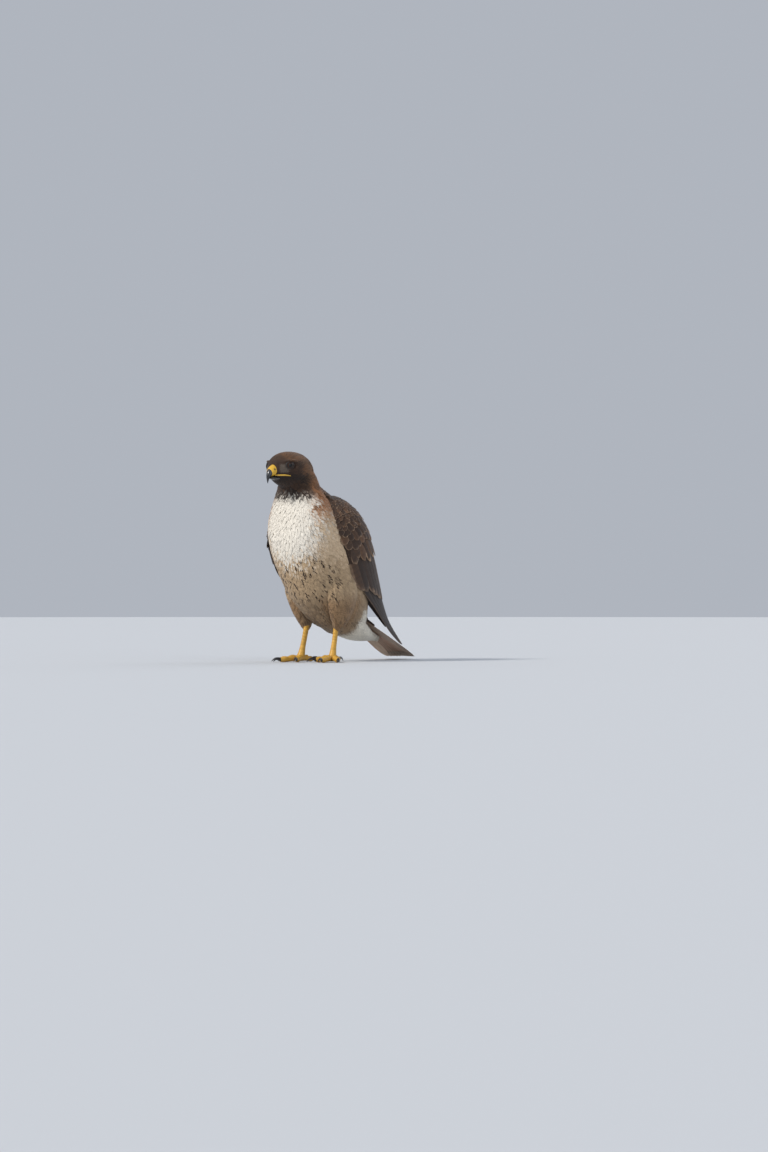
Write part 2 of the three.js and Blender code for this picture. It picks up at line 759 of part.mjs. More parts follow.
// The body is one form from crown to rump, parted by thin cuts.
const carvedHead = union([headForm(), brow(1), brow(-1)]).subtract(socket(1)).subtract(socket(-1));
const form = union([body(), carvedHead, lid(1), lid(-1)]);
const facePieces = [...eyes, cereForm(FIT_GAP), billForm(HOOK, FIT_GAP), billForm(LOWER_BILL, FIT_GAP)];
const bust = carve(form, facePieces);
const neckTop = { point: at(0, 70, 298), away: at(0, 0.25, 1).sub(at(0, 0, 0)) };
const neckRoot = { point: at(0, 64, 262), away: at(0, 0.45, 1).sub(at(0, 0, 0)) };
const waist = { point: at(0, -4, 152), away: at(0, 0.72, 0.7).sub(at(0, 0, 0)) };
const flank = { point: at(0, -4, 172), away: at(0, -0.7, 0.72).sub(at(0, 0, 0)) };
const opposite = ({ point, away }) => [point, away.clone().negate()];
const side = (whole, { point, away }) => beyond(whole, point, away);
const trunk = beyond(bust, ...opposite(neckRoot));
const [front, rear] = [side(trunk, waist), beyond(trunk, ...opposite(waist))];
show("head", largest(side(bust, neckTop)), "crown");
show("neck", largest(side(beyond(bust, ...opposite(neckTop)), neckRoot)), "crown");
show("mantle", largest(side(front, flank)), "back");
show("breast", largest(beyond(front, ...opposite(flank))), "breast");
show("rump", largest(side(rear, flank)), "back");
show("belly", beyond(rear, ...opposite(flank)), "belly");

// Legs and feet.
SIDES.forEach(([name, side]) => {
  show(`thigh_${name}`, carve(thigh(side), [body(FIT_GAP)]), "thigh");
  show(`tarsus_${name}`, carve(above(tarsus(side)), [thigh(side, FIT_GAP)]), "yellow");
  TOES.forEach((kind, k) => {
    const before = TOES.slice(0, k).map((other) => toe(side, other, FIT_GAP));
    show(`toe_${kind[0]}_${name}`, carve(above(toe(side, kind)), [tarsus(side, FIT_GAP), ...before]), "yellow");
    show(`claw_${kind[0]}_${name}`, carve(claw(side, kind), [toe(side, kind, FIT_GAP)]), "horn");
  });
});

// Tail and its coverts.
const rump = body(FIT_GAP);
show("tail", carve(above(tail()), [rump]), "tail");
show("tail_coverts_upper", carve(upperTailCoverts(), [rump, tail(FIT_GAP), underTailCoverts(FIT_GAP)]), "back");
show("tail_coverts_under", carve(underTailCoverts(), [rump, tail(FIT_GAP)]), "white");

// Wings, from the outside in.
SIDES.forEach(([name, side]) => {
  const legs = thigh(side, FIT_GAP);
  const tailTools = [rump, tail(FIT_GAP), upperTailCoverts(FIT_GAP), underTailCoverts(FIT_GAP), legs];
  const [shoulder, cover, arm] = [scapulars(side, FIT_GAP), wingCoverts(side, FIT_GAP), wingSecondaries(side, FIT_GAP)];
  const inner = (whole) => beyond(whole, at(side * 0.4, 0, 0), LEFT.clone().multiplyScalar(side));
  show(`scapulars_${name}`, carve(inner(scapulars(side)), [rump]), "back");
  show(`wing_${name}_coverts`, carve(inner(wingCoverts(side)), [rump, shoulder, legs]), "wing");
  show(`wing_${name}_secondaries`, carve(inner(wingSecondaries(side)), [shoulder, cover, ...tailTools]), "wing");
  show(`wing_${name}_primaries`, carve(inner(wingPrimaries(side)), [shoulder, cover, arm, ...tailTools]), "flight");
});

export default hawk;
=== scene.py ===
# %% [markdown]
# # A standing red-tailed hawk
# A museum keeps a hawk like this one as a still figure: a bill and two eyes, a body under a
# coat of small overlapping feathers, folded wings, a closed tail and two scaly yellow feet.
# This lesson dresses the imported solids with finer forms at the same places.
# Lengths are in millimetres until a mesh is made, which takes metres.

import math

import bmesh
import bpy
import numpy as np
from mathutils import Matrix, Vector
from mathutils.bvhtree import BVHTree


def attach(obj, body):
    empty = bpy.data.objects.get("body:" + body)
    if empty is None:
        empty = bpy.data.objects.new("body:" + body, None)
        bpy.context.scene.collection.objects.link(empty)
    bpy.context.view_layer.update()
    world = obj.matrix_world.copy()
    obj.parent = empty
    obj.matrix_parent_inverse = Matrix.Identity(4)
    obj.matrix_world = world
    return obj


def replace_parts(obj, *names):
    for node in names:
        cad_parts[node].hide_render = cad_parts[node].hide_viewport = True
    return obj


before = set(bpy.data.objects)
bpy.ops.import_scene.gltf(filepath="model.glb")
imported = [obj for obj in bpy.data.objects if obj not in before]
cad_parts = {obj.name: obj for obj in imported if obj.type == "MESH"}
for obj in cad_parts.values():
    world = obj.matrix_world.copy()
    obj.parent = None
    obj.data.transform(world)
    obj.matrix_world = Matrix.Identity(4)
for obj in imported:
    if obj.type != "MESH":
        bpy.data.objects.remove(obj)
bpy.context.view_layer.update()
dice = np.random.default_rng(7)
print("nodes in the frame:", len(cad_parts))

# %% [markdown]
# ## Places on the bird
# A bird carver measures from the ground between the feet: so far to the left, so far forward,
# so far up. One function turns such a place into the frame's X, Y and Z, and smooth tables
# (Catmull-Rom curves through a few rows of sizes) give every station in between.

# %% Places, tables and ramps
FEET_AHEAD_OF_MIDDLE = 72.5
UP = np.array([0.0, 0.0, 1.0])
LEFT = np.array([1.0, 0.0, 0.0])
SIDES = {"left": 1, "right": -1}
MM_TO_A_METRE = 1000


def arrays(*values):
    return np.broadcast_arrays(*(np.asarray(x, float) for x in values))


def at(left, forward, up):
    left, forward, up = arrays(left, forward, up)
    return np.stack([left, -forward - FEET_AHEAD_OF_MIDDLE, up], -1)


def forward_of(points):
    return -points[..., 1] - FEET_AHEAD_OF_MIDDLE


def along(rows, t):
    rows = np.asarray(rows, float)
    x = np.clip(np.asarray(t, float), 0, 1) * (len(rows) - 1)
    i = np.minimum(x.astype(int), len(rows) - 2)
    k = (x - i)[..., None]
    a, b, c, d = (rows[np.clip(i + j, 0, len(rows) - 1)] for j in (-1, 0, 1, 2))
    bend = (2 * a - 5 * b + 4 * c - d) * k**2 + (3 * b - a - 3 * c + d) * k**3
    return 0.5 * (2 * b + (c - a) * k + bend)


def ramp(x, start, end):
    k = np.clip((np.asarray(x, float) - start) / (end - start), 0, 1)
    return k * k * (3 - 2 * k)


def mix(a, b, k):
    return a + (b - a) * k


def unit(v):
    return v / np.maximum(np.linalg.norm(v, axis=-1, keepdims=True), 1e-9)


def turned(v, degrees):
    c, s = math.cos(math.radians(degrees)), math.sin(math.radians(degrees))
    v = np.asarray(v, float)
    return np.stack([v[..., 0] * c - v[..., 1] * s, v[..., 0] * s + v[..., 1] * c, v[..., 2]], -1)


def paint(red, green, blue):
    c = np.array([red, green, blue]) / 255
    return np.where(c <= 0.04045, c / 12.92, ((c + 0.055) / 1.055) ** 2.4)


def circle(sides):
    return np.linspace(0, 2 * math.pi, sides, endpoint=False)


print("between the feet:", at(0, 0, 0).tolist())


# %% [markdown]
# ## Pieces from rings
# Nearly all of the bird can be lofted: a form is a row of rings, and a feather is a very flat
# one. One helper makes a mesh from many such forms at once, with NumPy doing the repetition,
# because thousands of separate objects would be slow. It keeps, at each vertex, where on its
# vane the point lies, what colour the spot is and how strongly it is marked.

# %% The mesh maker
def new_piece(name, points, faces, material, slot, sharp=None):
    mesh = bpy.data.meshes.new(name)
    mesh.from_pydata((points / MM_TO_A_METRE).tolist(), [], faces)
    mesh.update()
    shell = bmesh.new()
    shell.from_mesh(mesh)
    if shell.calc_volume(signed=True) < 0:
        mesh.flip_normals()
    shell.free()
    mesh.shade_smooth()
    if sharp:
        mesh.set_sharp_from_angle(angle=math.radians(sharp))
    mesh.materials.append(material)
    piece = bpy.data.objects.new(name, mesh)
    bpy.context.scene.collection.objects.link(piece)
    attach(piece, "root")
    return piece


def ring_faces(count, stations, sides, hoop=False):
    """Faces of many equal lofts: closed by an end face each, or each joined into a hoop."""
    s = np.arange(sides)
    here = np.arange(stations if hoop else stations - 1)[:, None] * sides
    after = (here + sides) % (stations * sides)
    onward = (s + 1) % sides
    quads = np.stack([here + s, here + onward, after + onward, after + s], -1).reshape(-1, 4)
    base = np.arange(count)[:, None, None] * stations * sides
    faces = (quads + base).reshape(-1, 4).tolist()
    if not hoop:
        ends = np.stack([s[::-1], s + (stations - 1) * sides]) + base
        faces += ends.reshape(-1, sides).tolist()
    return faces


def colour_points(mesh, tint, vane=0.0, marks=0.0):
    size = (len(mesh.vertices), 3)
    tint = np.concatenate([np.broadcast_to(tint, size), np.ones((size[0], 1))], 1)
    layers = {
        "tint": ("FLOAT_COLOR", "color", tint),
        "vane": ("FLOAT_VECTOR", "vector", np.broadcast_to(vane, size)),
        "marks": ("FLOAT_VECTOR", "vector", np.broadcast_to(marks, size)),
    }
    for name, (kind, field, values) in layers.items():
        layer = mesh.attributes.new(name, kind, "POINT")
        layer.data.foreach_set(field, np.ascontiguousarray(values, dtype=np.float32).ravel())


def set_uv(mesh, uv, sides=0, wrap=0.0):
    """Lay the map by vertex; on lofts of so many sides the last strip runs on past the seam."""
    corner = np.empty(len(mesh.loops), dtype=np.int32)
    mesh.loops.foreach_get("vertex_index", corner)
    laid = uv[corner]
    if sides:
        loops = np.empty(len(mesh.polygons), dtype=np.int32)
        mesh.polygons.foreach_get("loop_total", loops)
        owner = np.repeat(np.arange(len(loops)), loops)
        seam = (loops[owner] == 4) & (owner % sides == sides - 1) & (corner % sides == 0)
        laid[seam, 0] += wrap
    layer = mesh.uv_layers.new(name="OFBake")
    layer.uv.foreach_set("vector", np.ascontiguousarray(laid, dtype=np.float32).ravel())


def join_lofts(lofts):
    points, faces, start = [], [], 0
    for rings in lofts:
        stations, sides = rings.shape[:2]
        points.append(rings.reshape(-1, 3))
        faces += [[v + start for v in f] for f in ring_faces(1, stations, sides)]
        start += stations * sides
    return np.concatenate(points), faces


def form(name, lofts, tints, material, slot, sharp=None):
    piece = new_piece(name, *join_lofts(lofts), material, slot, sharp)
    tints = [np.broadcast_to(tint, rings.shape).reshape(-1, 3) for rings, tint in zip(lofts, tints)]
    colour_points(piece.data, np.concatenate(tints))
    return piece


print("faces of a square tube of three rings:", len(ring_faces(1, 3, 4)))

# %% [markdown]
# ## Finishes
# Feathers are matt with a faint silky sheen. Each has a shaft, fine slanting barbs, often a
# pale fringe and a dark drop down the middle. That pattern is wanted on the small coat, the
# wings and the tail, so it is one node group that reads the vane's own coordinates; each
# material gives it its own strength. A second group breaks up the colour of skin and horn.

# %% Wires for node trees
COLOUR, NUMBER, VECTOR = "NodeSocketColor", "NodeSocketFloat", "NodeSocketVector"
GROUP_OUTPUTS = {"Color": COLOUR, "Height": NUMBER, "Roughness": NUMBER}


class Wires:
    """Adds nodes to one tree. An input takes a number, a colour or another node's output."""

    def __init__(self, tree):
        self.tree = tree

    def feed(self, socket, source):
        if isinstance(source, bpy.types.NodeSocket):
            self.tree.links.new(source, socket)
        else:
            socket.default_value = source

    def node(self, kind, fed, **settings):
        made = self.tree.nodes.new(kind)
        for key, value in settings.items():
            setattr(made, key, value)
        for index, source in fed.items():
            self.feed(made.inputs[index], source)
        return made

    def maths(self, operation, a, b=0.0):
        return self.node("ShaderNodeMath", {0: a, 1: b}, operation=operation).outputs[0]

    def times(self, a, b):
        return self.maths("MULTIPLY", a, b)

    def plus(self, a, b):
        return self.maths("ADD", a, b)

    def vector(self, x, y, z):
        return self.node("ShaderNodeCombineXYZ", {0: x, 1: y, 2: z}).outputs[0]

    def fade(self, x, start, end, low=0.0, high=1.0):
        fed = {0: x, 1: start, 2: end, 3: low, 4: high}
        return self.node("ShaderNodeMapRange", fed, interpolation_type="SMOOTHSTEP").outputs[0]

    def blend(self, share, a, b, mode="MIX"):
        fed = {0: share, 6: a, 7: b}
        return self.node("ShaderNodeMix", fed, data_type="RGBA", blend_type=mode).outputs[2]


def start_group(name, inputs):
    tree = bpy.data.node_groups.new(name, "ShaderNodeTree")
    for title, (kind, value) in inputs.items():
        socket = tree.interface.new_socket(name=title, in_out="INPUT", socket_type=kind)
        if value is not None:
            socket.default_value = value
    for title, kind in GROUP_OUTPUTS.items():
        tree.interface.new_socket(name=title, in_out="OUTPUT", socket_type=kind)
    start, end = tree.nodes.new("NodeGroupInput"), tree.nodes.new("NodeGroupOutput")
    return Wires(tree), start.outputs, end.inputs


print("each group gives:", ", ".join(GROUP_OUTPUTS))


# %% The vane pattern group
def vane_pattern():
    inputs = {
        "Tint": (COLOUR, (0.5, 0.4, 0.3, 1)),
        "Marks": (VECTOR, None),
        "Vane": (VECTOR, None),
        "Fringe": (COLOUR, (0.3, 0.2, 0.12, 1)),
        "Barbs": (NUMBER, 60.0),
    }
    bar_brown, drop_brown = (0.035, 0.022, 0.015, 1), (0.03, 0.017, 0.011, 1)
    w, given, ready = start_group("vane_pattern", inputs)
    sideways, down, chance = w.node("ShaderNodeSeparateXYZ", {0: given["Vane"]}).outputs
    dropped, fringed, barred = w.node("ShaderNodeSeparateXYZ", {0: given["Marks"]}).outputs
    across = w.maths("ABSOLUTE", sideways)
    spot = w.vector(w.times(sideways, 2.2), w.times(down, 5.0), w.times(chance, 50.0))
    mottle = w.node("ShaderNodeTexNoise", {"Vector": spot, "Scale": 1.6, "Detail": 3.0}).outputs[0]
    ragged = w.times(w.maths("SUBTRACT", mottle, 0.5), 0.35)
    side_edge = w.fade(w.plus(across, ragged), 0.62, 0.98)
    end_edge = w.fade(w.plus(down, w.times(ragged, 0.4)), 0.86, 0.98)
    edge = w.times(w.maths("MAXIMUM", side_edge, end_edge), fringed)
    drop = w.times(w.fade(w.plus(across, ragged), 0.85, 0.4), w.fade(down, 0.2, 0.45))
    drop = w.times(w.times(drop, w.fade(down, 0.99, 0.9)), dropped)
    wave = w.maths("SINE", w.plus(w.times(down, 42.0), w.times(ragged, 9.0)))
    bars = w.times(w.fade(wave, 0.1, 0.8), barred)
    colour = w.blend(edge, given["Tint"], given["Fringe"])
    colour = w.blend(w.times(bars, 0.75), colour, bar_brown)
    colour = w.blend(drop, colour, drop_brown)
    shade = w.times(w.fade(mottle, 0.25, 0.75, 0.78, 1.14), w.fade(across, 0.0, 0.07, 0.72, 1.0))
    colour = w.blend(1.0, colour, w.vector(shade, shade, shade), "MULTIPLY")
    slant = w.plus(w.times(down, given["Barbs"]), w.times(across, w.times(given["Barbs"], -0.45)))
    barb = w.times(w.maths("SINE", w.times(slant, 6.283)), 0.35)
    shaft = w.fade(across, 0.08, 0.02, 0.0, 0.9)
    w.feed(ready["Color"], colour)
    w.feed(ready["Height"], w.plus(w.plus(barb, w.times(mottle, 0.8)), shaft))
    w.feed(ready["Roughness"], w.fade(mottle, 0.2, 0.8, 0.58, 0.78))
    return w.tree


VANE_PATTERN = vane_pattern()
print("vane pattern nodes:", len(VANE_PATTERN.nodes))


# %% The skin grain group
def skin_grain():
    inputs = {
        "Tint": (COLOUR, (0.5, 0.4, 0.3, 1)),
        "Scale": (NUMBER, 400.0),
        "Depth": (NUMBER, 0.3),
        "Rough": (NUMBER, 0.5),
    }
    w, given, ready = start_group("skin_grain", inputs)
    fed = {"Vector": w.node("ShaderNodeTexCoord", {}).outputs["Object"], "Scale": given["Scale"]}
    grain = w.node("ShaderNodeTexNoise", fed | {"Detail": 4.0}).outputs[0]
    cells = w.node("ShaderNodeTexVoronoi", fed).outputs[0]
    dark = w.blend(1.0, given["Tint"], (0.55, 0.5, 0.42, 1), "MULTIPLY")
    share = w.times(w.fade(grain, 0.3, 0.7), given["Depth"])
    w.feed(ready["Color"], w.blend(share, given["Tint"], dark))
    w.feed(ready["Height"], w.plus(grain, w.times(cells, 0.7)))
    w.feed(ready["Roughness"], w.times(given["Rough"], w.fade(grain, 0.3, 0.7, 0.85, 1.15)))
    return w.tree


SKIN_GRAIN = skin_grain()
print("skin grain nodes:", len(SKIN_GRAIN.nodes))


# %% Materials
def start_material(name):
    material = bpy.data.materials.new(name)
    material.use_nodes = True
    tree = material.node_tree
    return material, Wires(tree), tree.nodes["Principled BSDF"].inputs


def finish(name, pattern, values, bump, relief_depth, surface):
    """One group drives colour, relief and roughness; it reads the points' own attributes."""
    material, w, shader = start_material(name)
    group = w.node("ShaderNodeGroup", {}, node_tree=pattern)
    for title, output in (("Tint", "Color"), ("Marks", "Vector"), ("Vane", "Vector")):
        if title in group.inputs:
            source = w.node("ShaderNodeAttribute", {}, attribute_name=title.lower())
            w.feed(group.inputs[title], source.outputs[output])
    for title, value in values.items():
        w.feed(group.inputs[title], value)
    fed = {"Strength": bump, "Distance": relief_depth, "Height": group.outputs["Height"]}
    w.feed(shader["Base Color"], group.outputs["Color"])
    w.feed(shader["Roughness"], group.outputs["Roughness"])
    w.feed(shader["Normal"], w.node("ShaderNodeBump", fed).outputs[0])
    for title, value in surface.items():
        shader[title].default_value = value
    return material


def feather_finish(name, fringe, barbs):
    values = {"Fringe": (*paint(*fringe), 1), "Barbs": barbs}
    surface = {"Sheen Weight": 0.12, "Specular IOR Level": 0.25}
    return finish(name, VANE_PATTERN, values, 0.25, 0.0004, surface)


def skin_finish(name, rough, scale, depth, bump, coat=0.0, coat_rough=0.1, specular=0.4):
    values = {"Rough": rough, "Scale": scale, "Depth": depth}
    surface = {"Specular IOR Level": specular, "Coat Weight": coat, "Coat Roughness": coat_rough}
    return finish(name, SKIN_GRAIN, values, bump, 0.0005, surface)


COAT_VANES = feather_finish("small_coat", (205, 170, 130), 9)
WING_VANES = feather_finish("wing_vanes", (172, 142, 114), 60)
TAIL_VANES = feather_finish("tail_vanes", (214, 196, 170), 90)
BARE = skin_finish("feather_bed", 0.9, 500, 0.4, 0.2)
SCALES = skin_finish("yellow_scales", 0.42, 900, 0.35, 0.35, coat=0.15, coat_rough=0.3)
HORN = skin_finish("horn", 0.3, 700, 0.25, 0.08, coat=0.35, coat_rough=0.15)
EYE_GLASS = skin_finish("eye_glass", 0.06, 600, 0.2, 0.0, coat=0.4, coat_rough=0.02, specular=0.15)
print("materials:", len(bpy.data.materials))

# %% [markdown]
# ## The body under the coat
# The coat of a hawk hides a smooth body. The torso, head, thighs and the pad under the tail
# are lofted a few millimetres inside the solids, joined by a voxel remesh into one closed
# skin, and smoothed. Sculpting would do as well, but tables keep the skin true to the solids.

# %% Body and head tables
BODY = [
    [-122, 56, -130, 74, 9], [-108, 47, -124, 86, 22], [-80, 46, -112, 112, 37],
    [-42, 51, -102, 144, 51], [0, 68, -88, 182, 60], [38, 96, -72, 218, 64],
    [68, 134, -46, 250, 66], [87, 170, -12, 273, 65], [96, 204, 17, 287, 59],
    [95, 234, 30, 300, 50], [91, 258, 35, 314, 43], [90, 279, 40, 327, 37],
    [95, 298, 52, 336, 30],
]
HEAD = [
    [-46, 0, -9, 7], [-42, 11, -20, 19], [-31, 21.5, -29, 28.5], [-18, 27.5, -33, 33],
    [-2, 29, -33, 34], [11, 28, -31, 32.5], [21, 25, -26.5, 28.5], [29, 20, -21.5, 22.5],
    [35, 13, -18, 15.5], [40, 5, -15, 8],
]
UNDER_TAIL = [
    [-56, 47, -70, 84, 37], [-84, 41, -98, 80, 34], [-114, 35, -124, 68, 28],
    [-138, 34, -144, 58, 20], [-160, 34, -163, 51, 12], [-186, 34, -188, 42, 5],
]
THIGH = [
    [2, 148, 42, 22, 34], [-4, 125, 43, 24, 37], [-9, 101, 41, 21, 33],
    [-13, 79, 36.5, 15.5, 24], [-13, 62, 32, 8.8, 13], [-12, 54, 30.5, 5.6, 7],
]
RIGHT_THIGH_TUCK = [
    [3, 0, -6, -3, -1], [3, 0, -6, -4, -1], [3, 0, -6, -4, -1],
    [3, 0, -4, -2, 0], [3, 0, -1, 0, 0], [3, 0, 0, 0, 0],
]
BROW = [
    [32, 8, -3.6, 0.9, 0.8], [27, 10.4, -0.5, 2.0, 1.8],
    [20, 11.5, 1.3, 2.5, 2.0], [10, 11.2, -1.2, 1.0, 0.8],
]
HEAD_MIDDLE = at(-4, 84, 325)
HEAD_TURN = 7
RIGHT_FOOT_AHEAD = 6
AROUND = circle(48)
head_ahead = turned([0.0, -1.0, 0.0], -HEAD_TURN)
head_left = np.cross(UP, head_ahead)


def on_head(ahead, out, up):
    ahead, out, up = (x[..., None] for x in arrays(ahead, out, up))
    return HEAD_MIDDLE + ahead * head_ahead + out * head_left + up * UP


def head_side(ahead, up):
    table = np.array(HEAD)
    crown, throat, half = (np.interp(ahead, table[:, 0], table[:, c]) for c in (1, 2, 3))
    tall = (crown - throat) / 2
    return half * np.sqrt(np.maximum(0, 1 - ((up - (crown + throat) / 2) / tall) ** 2))


def waves(angles):
    return np.cos(angles)[None, :, None], np.sin(angles)[None, :, None]


def oval_rings(rows, steps, place, across, depth=0.0, pinch=0.0):
    """Rows give the lowest and highest point ahead and up, and the half width between them."""
    low_a, low_u, high_a, high_u, half = along(rows, np.linspace(0, 1, steps)).T
    middle = place((low_a + high_a) / 2, (low_u + high_u) / 2)
    over = place(high_a, high_u) - middle
    over *= (1 - depth / np.linalg.norm(over, axis=1))[:, None]
    c, s = waves(AROUND)
    wide = (half - depth)[:, None, None] * (1 - pinch * np.maximum(s, 0))
    return middle[:, None] + over[:, None] * s + across * c * wide


def body_rings(rows, steps):
    return oval_rings(rows, steps, lambda forward, up: at(0, forward, up), LEFT, COAT_DEPTH)


def head_rings(depth):
    steps = len(AROUND)
    ahead, crown, throat, half = along(HEAD, np.linspace(0.02, 1, steps)).T
    tall = (crown - throat) / 2 - depth
    out = (half - depth)[:, None] * np.cos(AROUND)
    up = ((crown + throat) / 2)[:, None] + tall[:, None] * np.sin(AROUND)
    return on_head(np.repeat(ahead[:, None], steps, 1), out, up)


print("rows of the body, head and thigh:", len(BODY), len(HEAD), len(THIGH))


# %% Tubes
def tube_rings(path, radii, sides, reference):
    path, radii = np.asarray(path, float), np.asarray(radii, float)
    ahead = unit(np.gradient(path, axis=0))
    across = unit(np.cross(ahead, reference))
    over = np.cross(across, ahead)
    c, s = waves(circle(sides))
    return path[:, None] + across[:, None] * c * radii[:, :1, None] + over[:, None] * s * radii[:, 1:, None]


def thigh_rings(side, depth):
    t = np.linspace(0, 1, 24)
    rows = along(THIGH, t)
    if side < 0:
        rows = rows + along(RIGHT_THIGH_TUCK, t)
    path = at(side * rows[:, 2], rows[:, 0], rows[:, 1])
    return tube_rings(path, np.maximum(rows[:, 3:] - depth, 3), 32, [0, -1, 0])


def brow_rings(side):
    ahead, up, out, *radii = along(BROW, np.linspace(0, 1, 14)).T
    path = on_head(ahead, side * (head_side(ahead, up) + out), up)
    return tube_rings(path, np.stack(radii, 1), 12, UP)


print("rings of a thigh and a brow:", len(thigh_rings(1, 3.0)), len(brow_rings(1)))


# %% One closed skin
def settled_mesh(piece):
    depsgraph = bpy.context.evaluated_depsgraph_get()
    mesh = bpy.data.meshes.new_from_object(piece.evaluated_get(depsgraph))
    old = piece.data
    piece.modifiers.clear()
    piece.data = mesh
    bpy.data.meshes.remove(old)


COAT_DEPTH = 3.2
HEAD_COAT_DEPTH = 1.6
THIGH_COAT_DEPTH = 3.0
parts = [body_rings(BODY, 60), head_rings(HEAD_COAT_DEPTH), body_rings(UNDER_TAIL, 24)]
parts += [thigh_rings(side, THIGH_COAT_DEPTH) for side in SIDES.values()]
parts += [brow_rings(side) for side in SIDES.values()]
skin = new_piece("skin", *join_lofts(parts), BARE, "breast_feathers")
remesh = skin.modifiers.new("remesh", "REMESH")
remesh.mode = "VOXEL"
remesh.voxel_size = 0.0016
ease = skin.modifiers.new("ease", "SMOOTH")
ease.iterations = 5
settled_mesh(skin)
skin_points = np.empty(len(skin.data.vertices) * 3)
skin.data.vertices.foreach_get("co", skin_points)
skin_points = skin_points.reshape(-1, 3) * MM_TO_A_METRE
print("skin vertices:", len(skin_points))

# %% Eye sockets
EYE = {"ahead": 21.5, "out": 20.2, "up": 3.5, "radius": 8.0}
SOCKET = {"middle": (22.5, 31.5, 3.0), "radii": (10.5, 6.2, 7.6)}


def head_frame(points):
    away = points - HEAD_MIDDLE
    return away @ head_ahead, away @ head_left, away @ UP


for side in SIDES.values():
    ahead, out, up = head_frame(skin_points)
    a, o, u = SOCKET["middle"]
    spot = np.stack([ahead - a, out - side * o, up - u], 1) / SOCKET["radii"]
    reach = np.linalg.norm(spot, axis=1)
    inside = reach < 1.0
    pushed = spot[inside] / reach[inside, None] * SOCKET["radii"]
    skin_points[inside] = on_head(pushed[:, 0] + a, pushed[:, 1] + side * o, pushed[:, 2] + u)
skin.data.vertices.foreach_set("co", (skin_points / MM_TO_A_METRE).ravel())
skin.data.update()
skin.data.shade_smooth()
skin_faces = [tuple(p.vertices) for p in skin.data.polygons]
skin_tree = BVHTree.FromPolygons(skin_points.tolist(), skin_faces)
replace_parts(skin, "head", "neck", "breast", "belly", "mantle", "rump", "thigh_left", "thigh_right")
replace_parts(skin, "tail_coverts_under")
print("skin faces:", len(skin_faces), "round sockets of", SOCKET["radii"])

# %% [markdown]
# ## The bird's markings
# A pale-breasted adult: brown head, darker throat, tawny neck, cream breast, a band of dark
# drops on the belly, buff thighs and a dark back. Colour, feather size and markings are
# formulas of the place on the bird, used alike for the skin and for every feather on it.

# %% Markings and feather sizes by place
TONES = {
    "crown": (104, 72, 48), "face": (52, 36, 28), "throat": (38, 28, 23), "lores": (120, 112, 102),
    "nape": (150, 102, 66), "breast": (224, 217, 205), "breast_side": (206, 180, 148),
    # The darker grey-brown lower belly tone in this row is partly the belly's own greyish buff and partly
    # painted shade under the belly.
    "belly": (176, 150, 118), "grey_belly_and_shade": (122, 102, 80), "thigh": (150, 120, 88),
    "under_tail": (222, 214, 198), "back": (70, 51, 40), "drop": (46, 32, 24),
}
TONES = {name: paint(*value) for name, value in TONES.items()}


def over_shoulders(points):
    """How far a place lies above the slanting line from the nape down the back."""
    return -0.755 * (forward_of(points) - 65) + 0.656 * (points[:, 2] - 270)


def cells(points, wide, tall):
    across = (points[:, 0] + 1.4 * np.sin(points[:, 2] / 9)) / wide
    column = np.floor(across)
    down = points[:, 2] / tall + 0.37 * column
    roll = np.mod(np.sin(column * 12.99 + np.floor(down) * 78.2) * 4375.8, 1)
    return roll, np.abs(np.mod(across, 1) - 0.5), np.mod(down, 1)


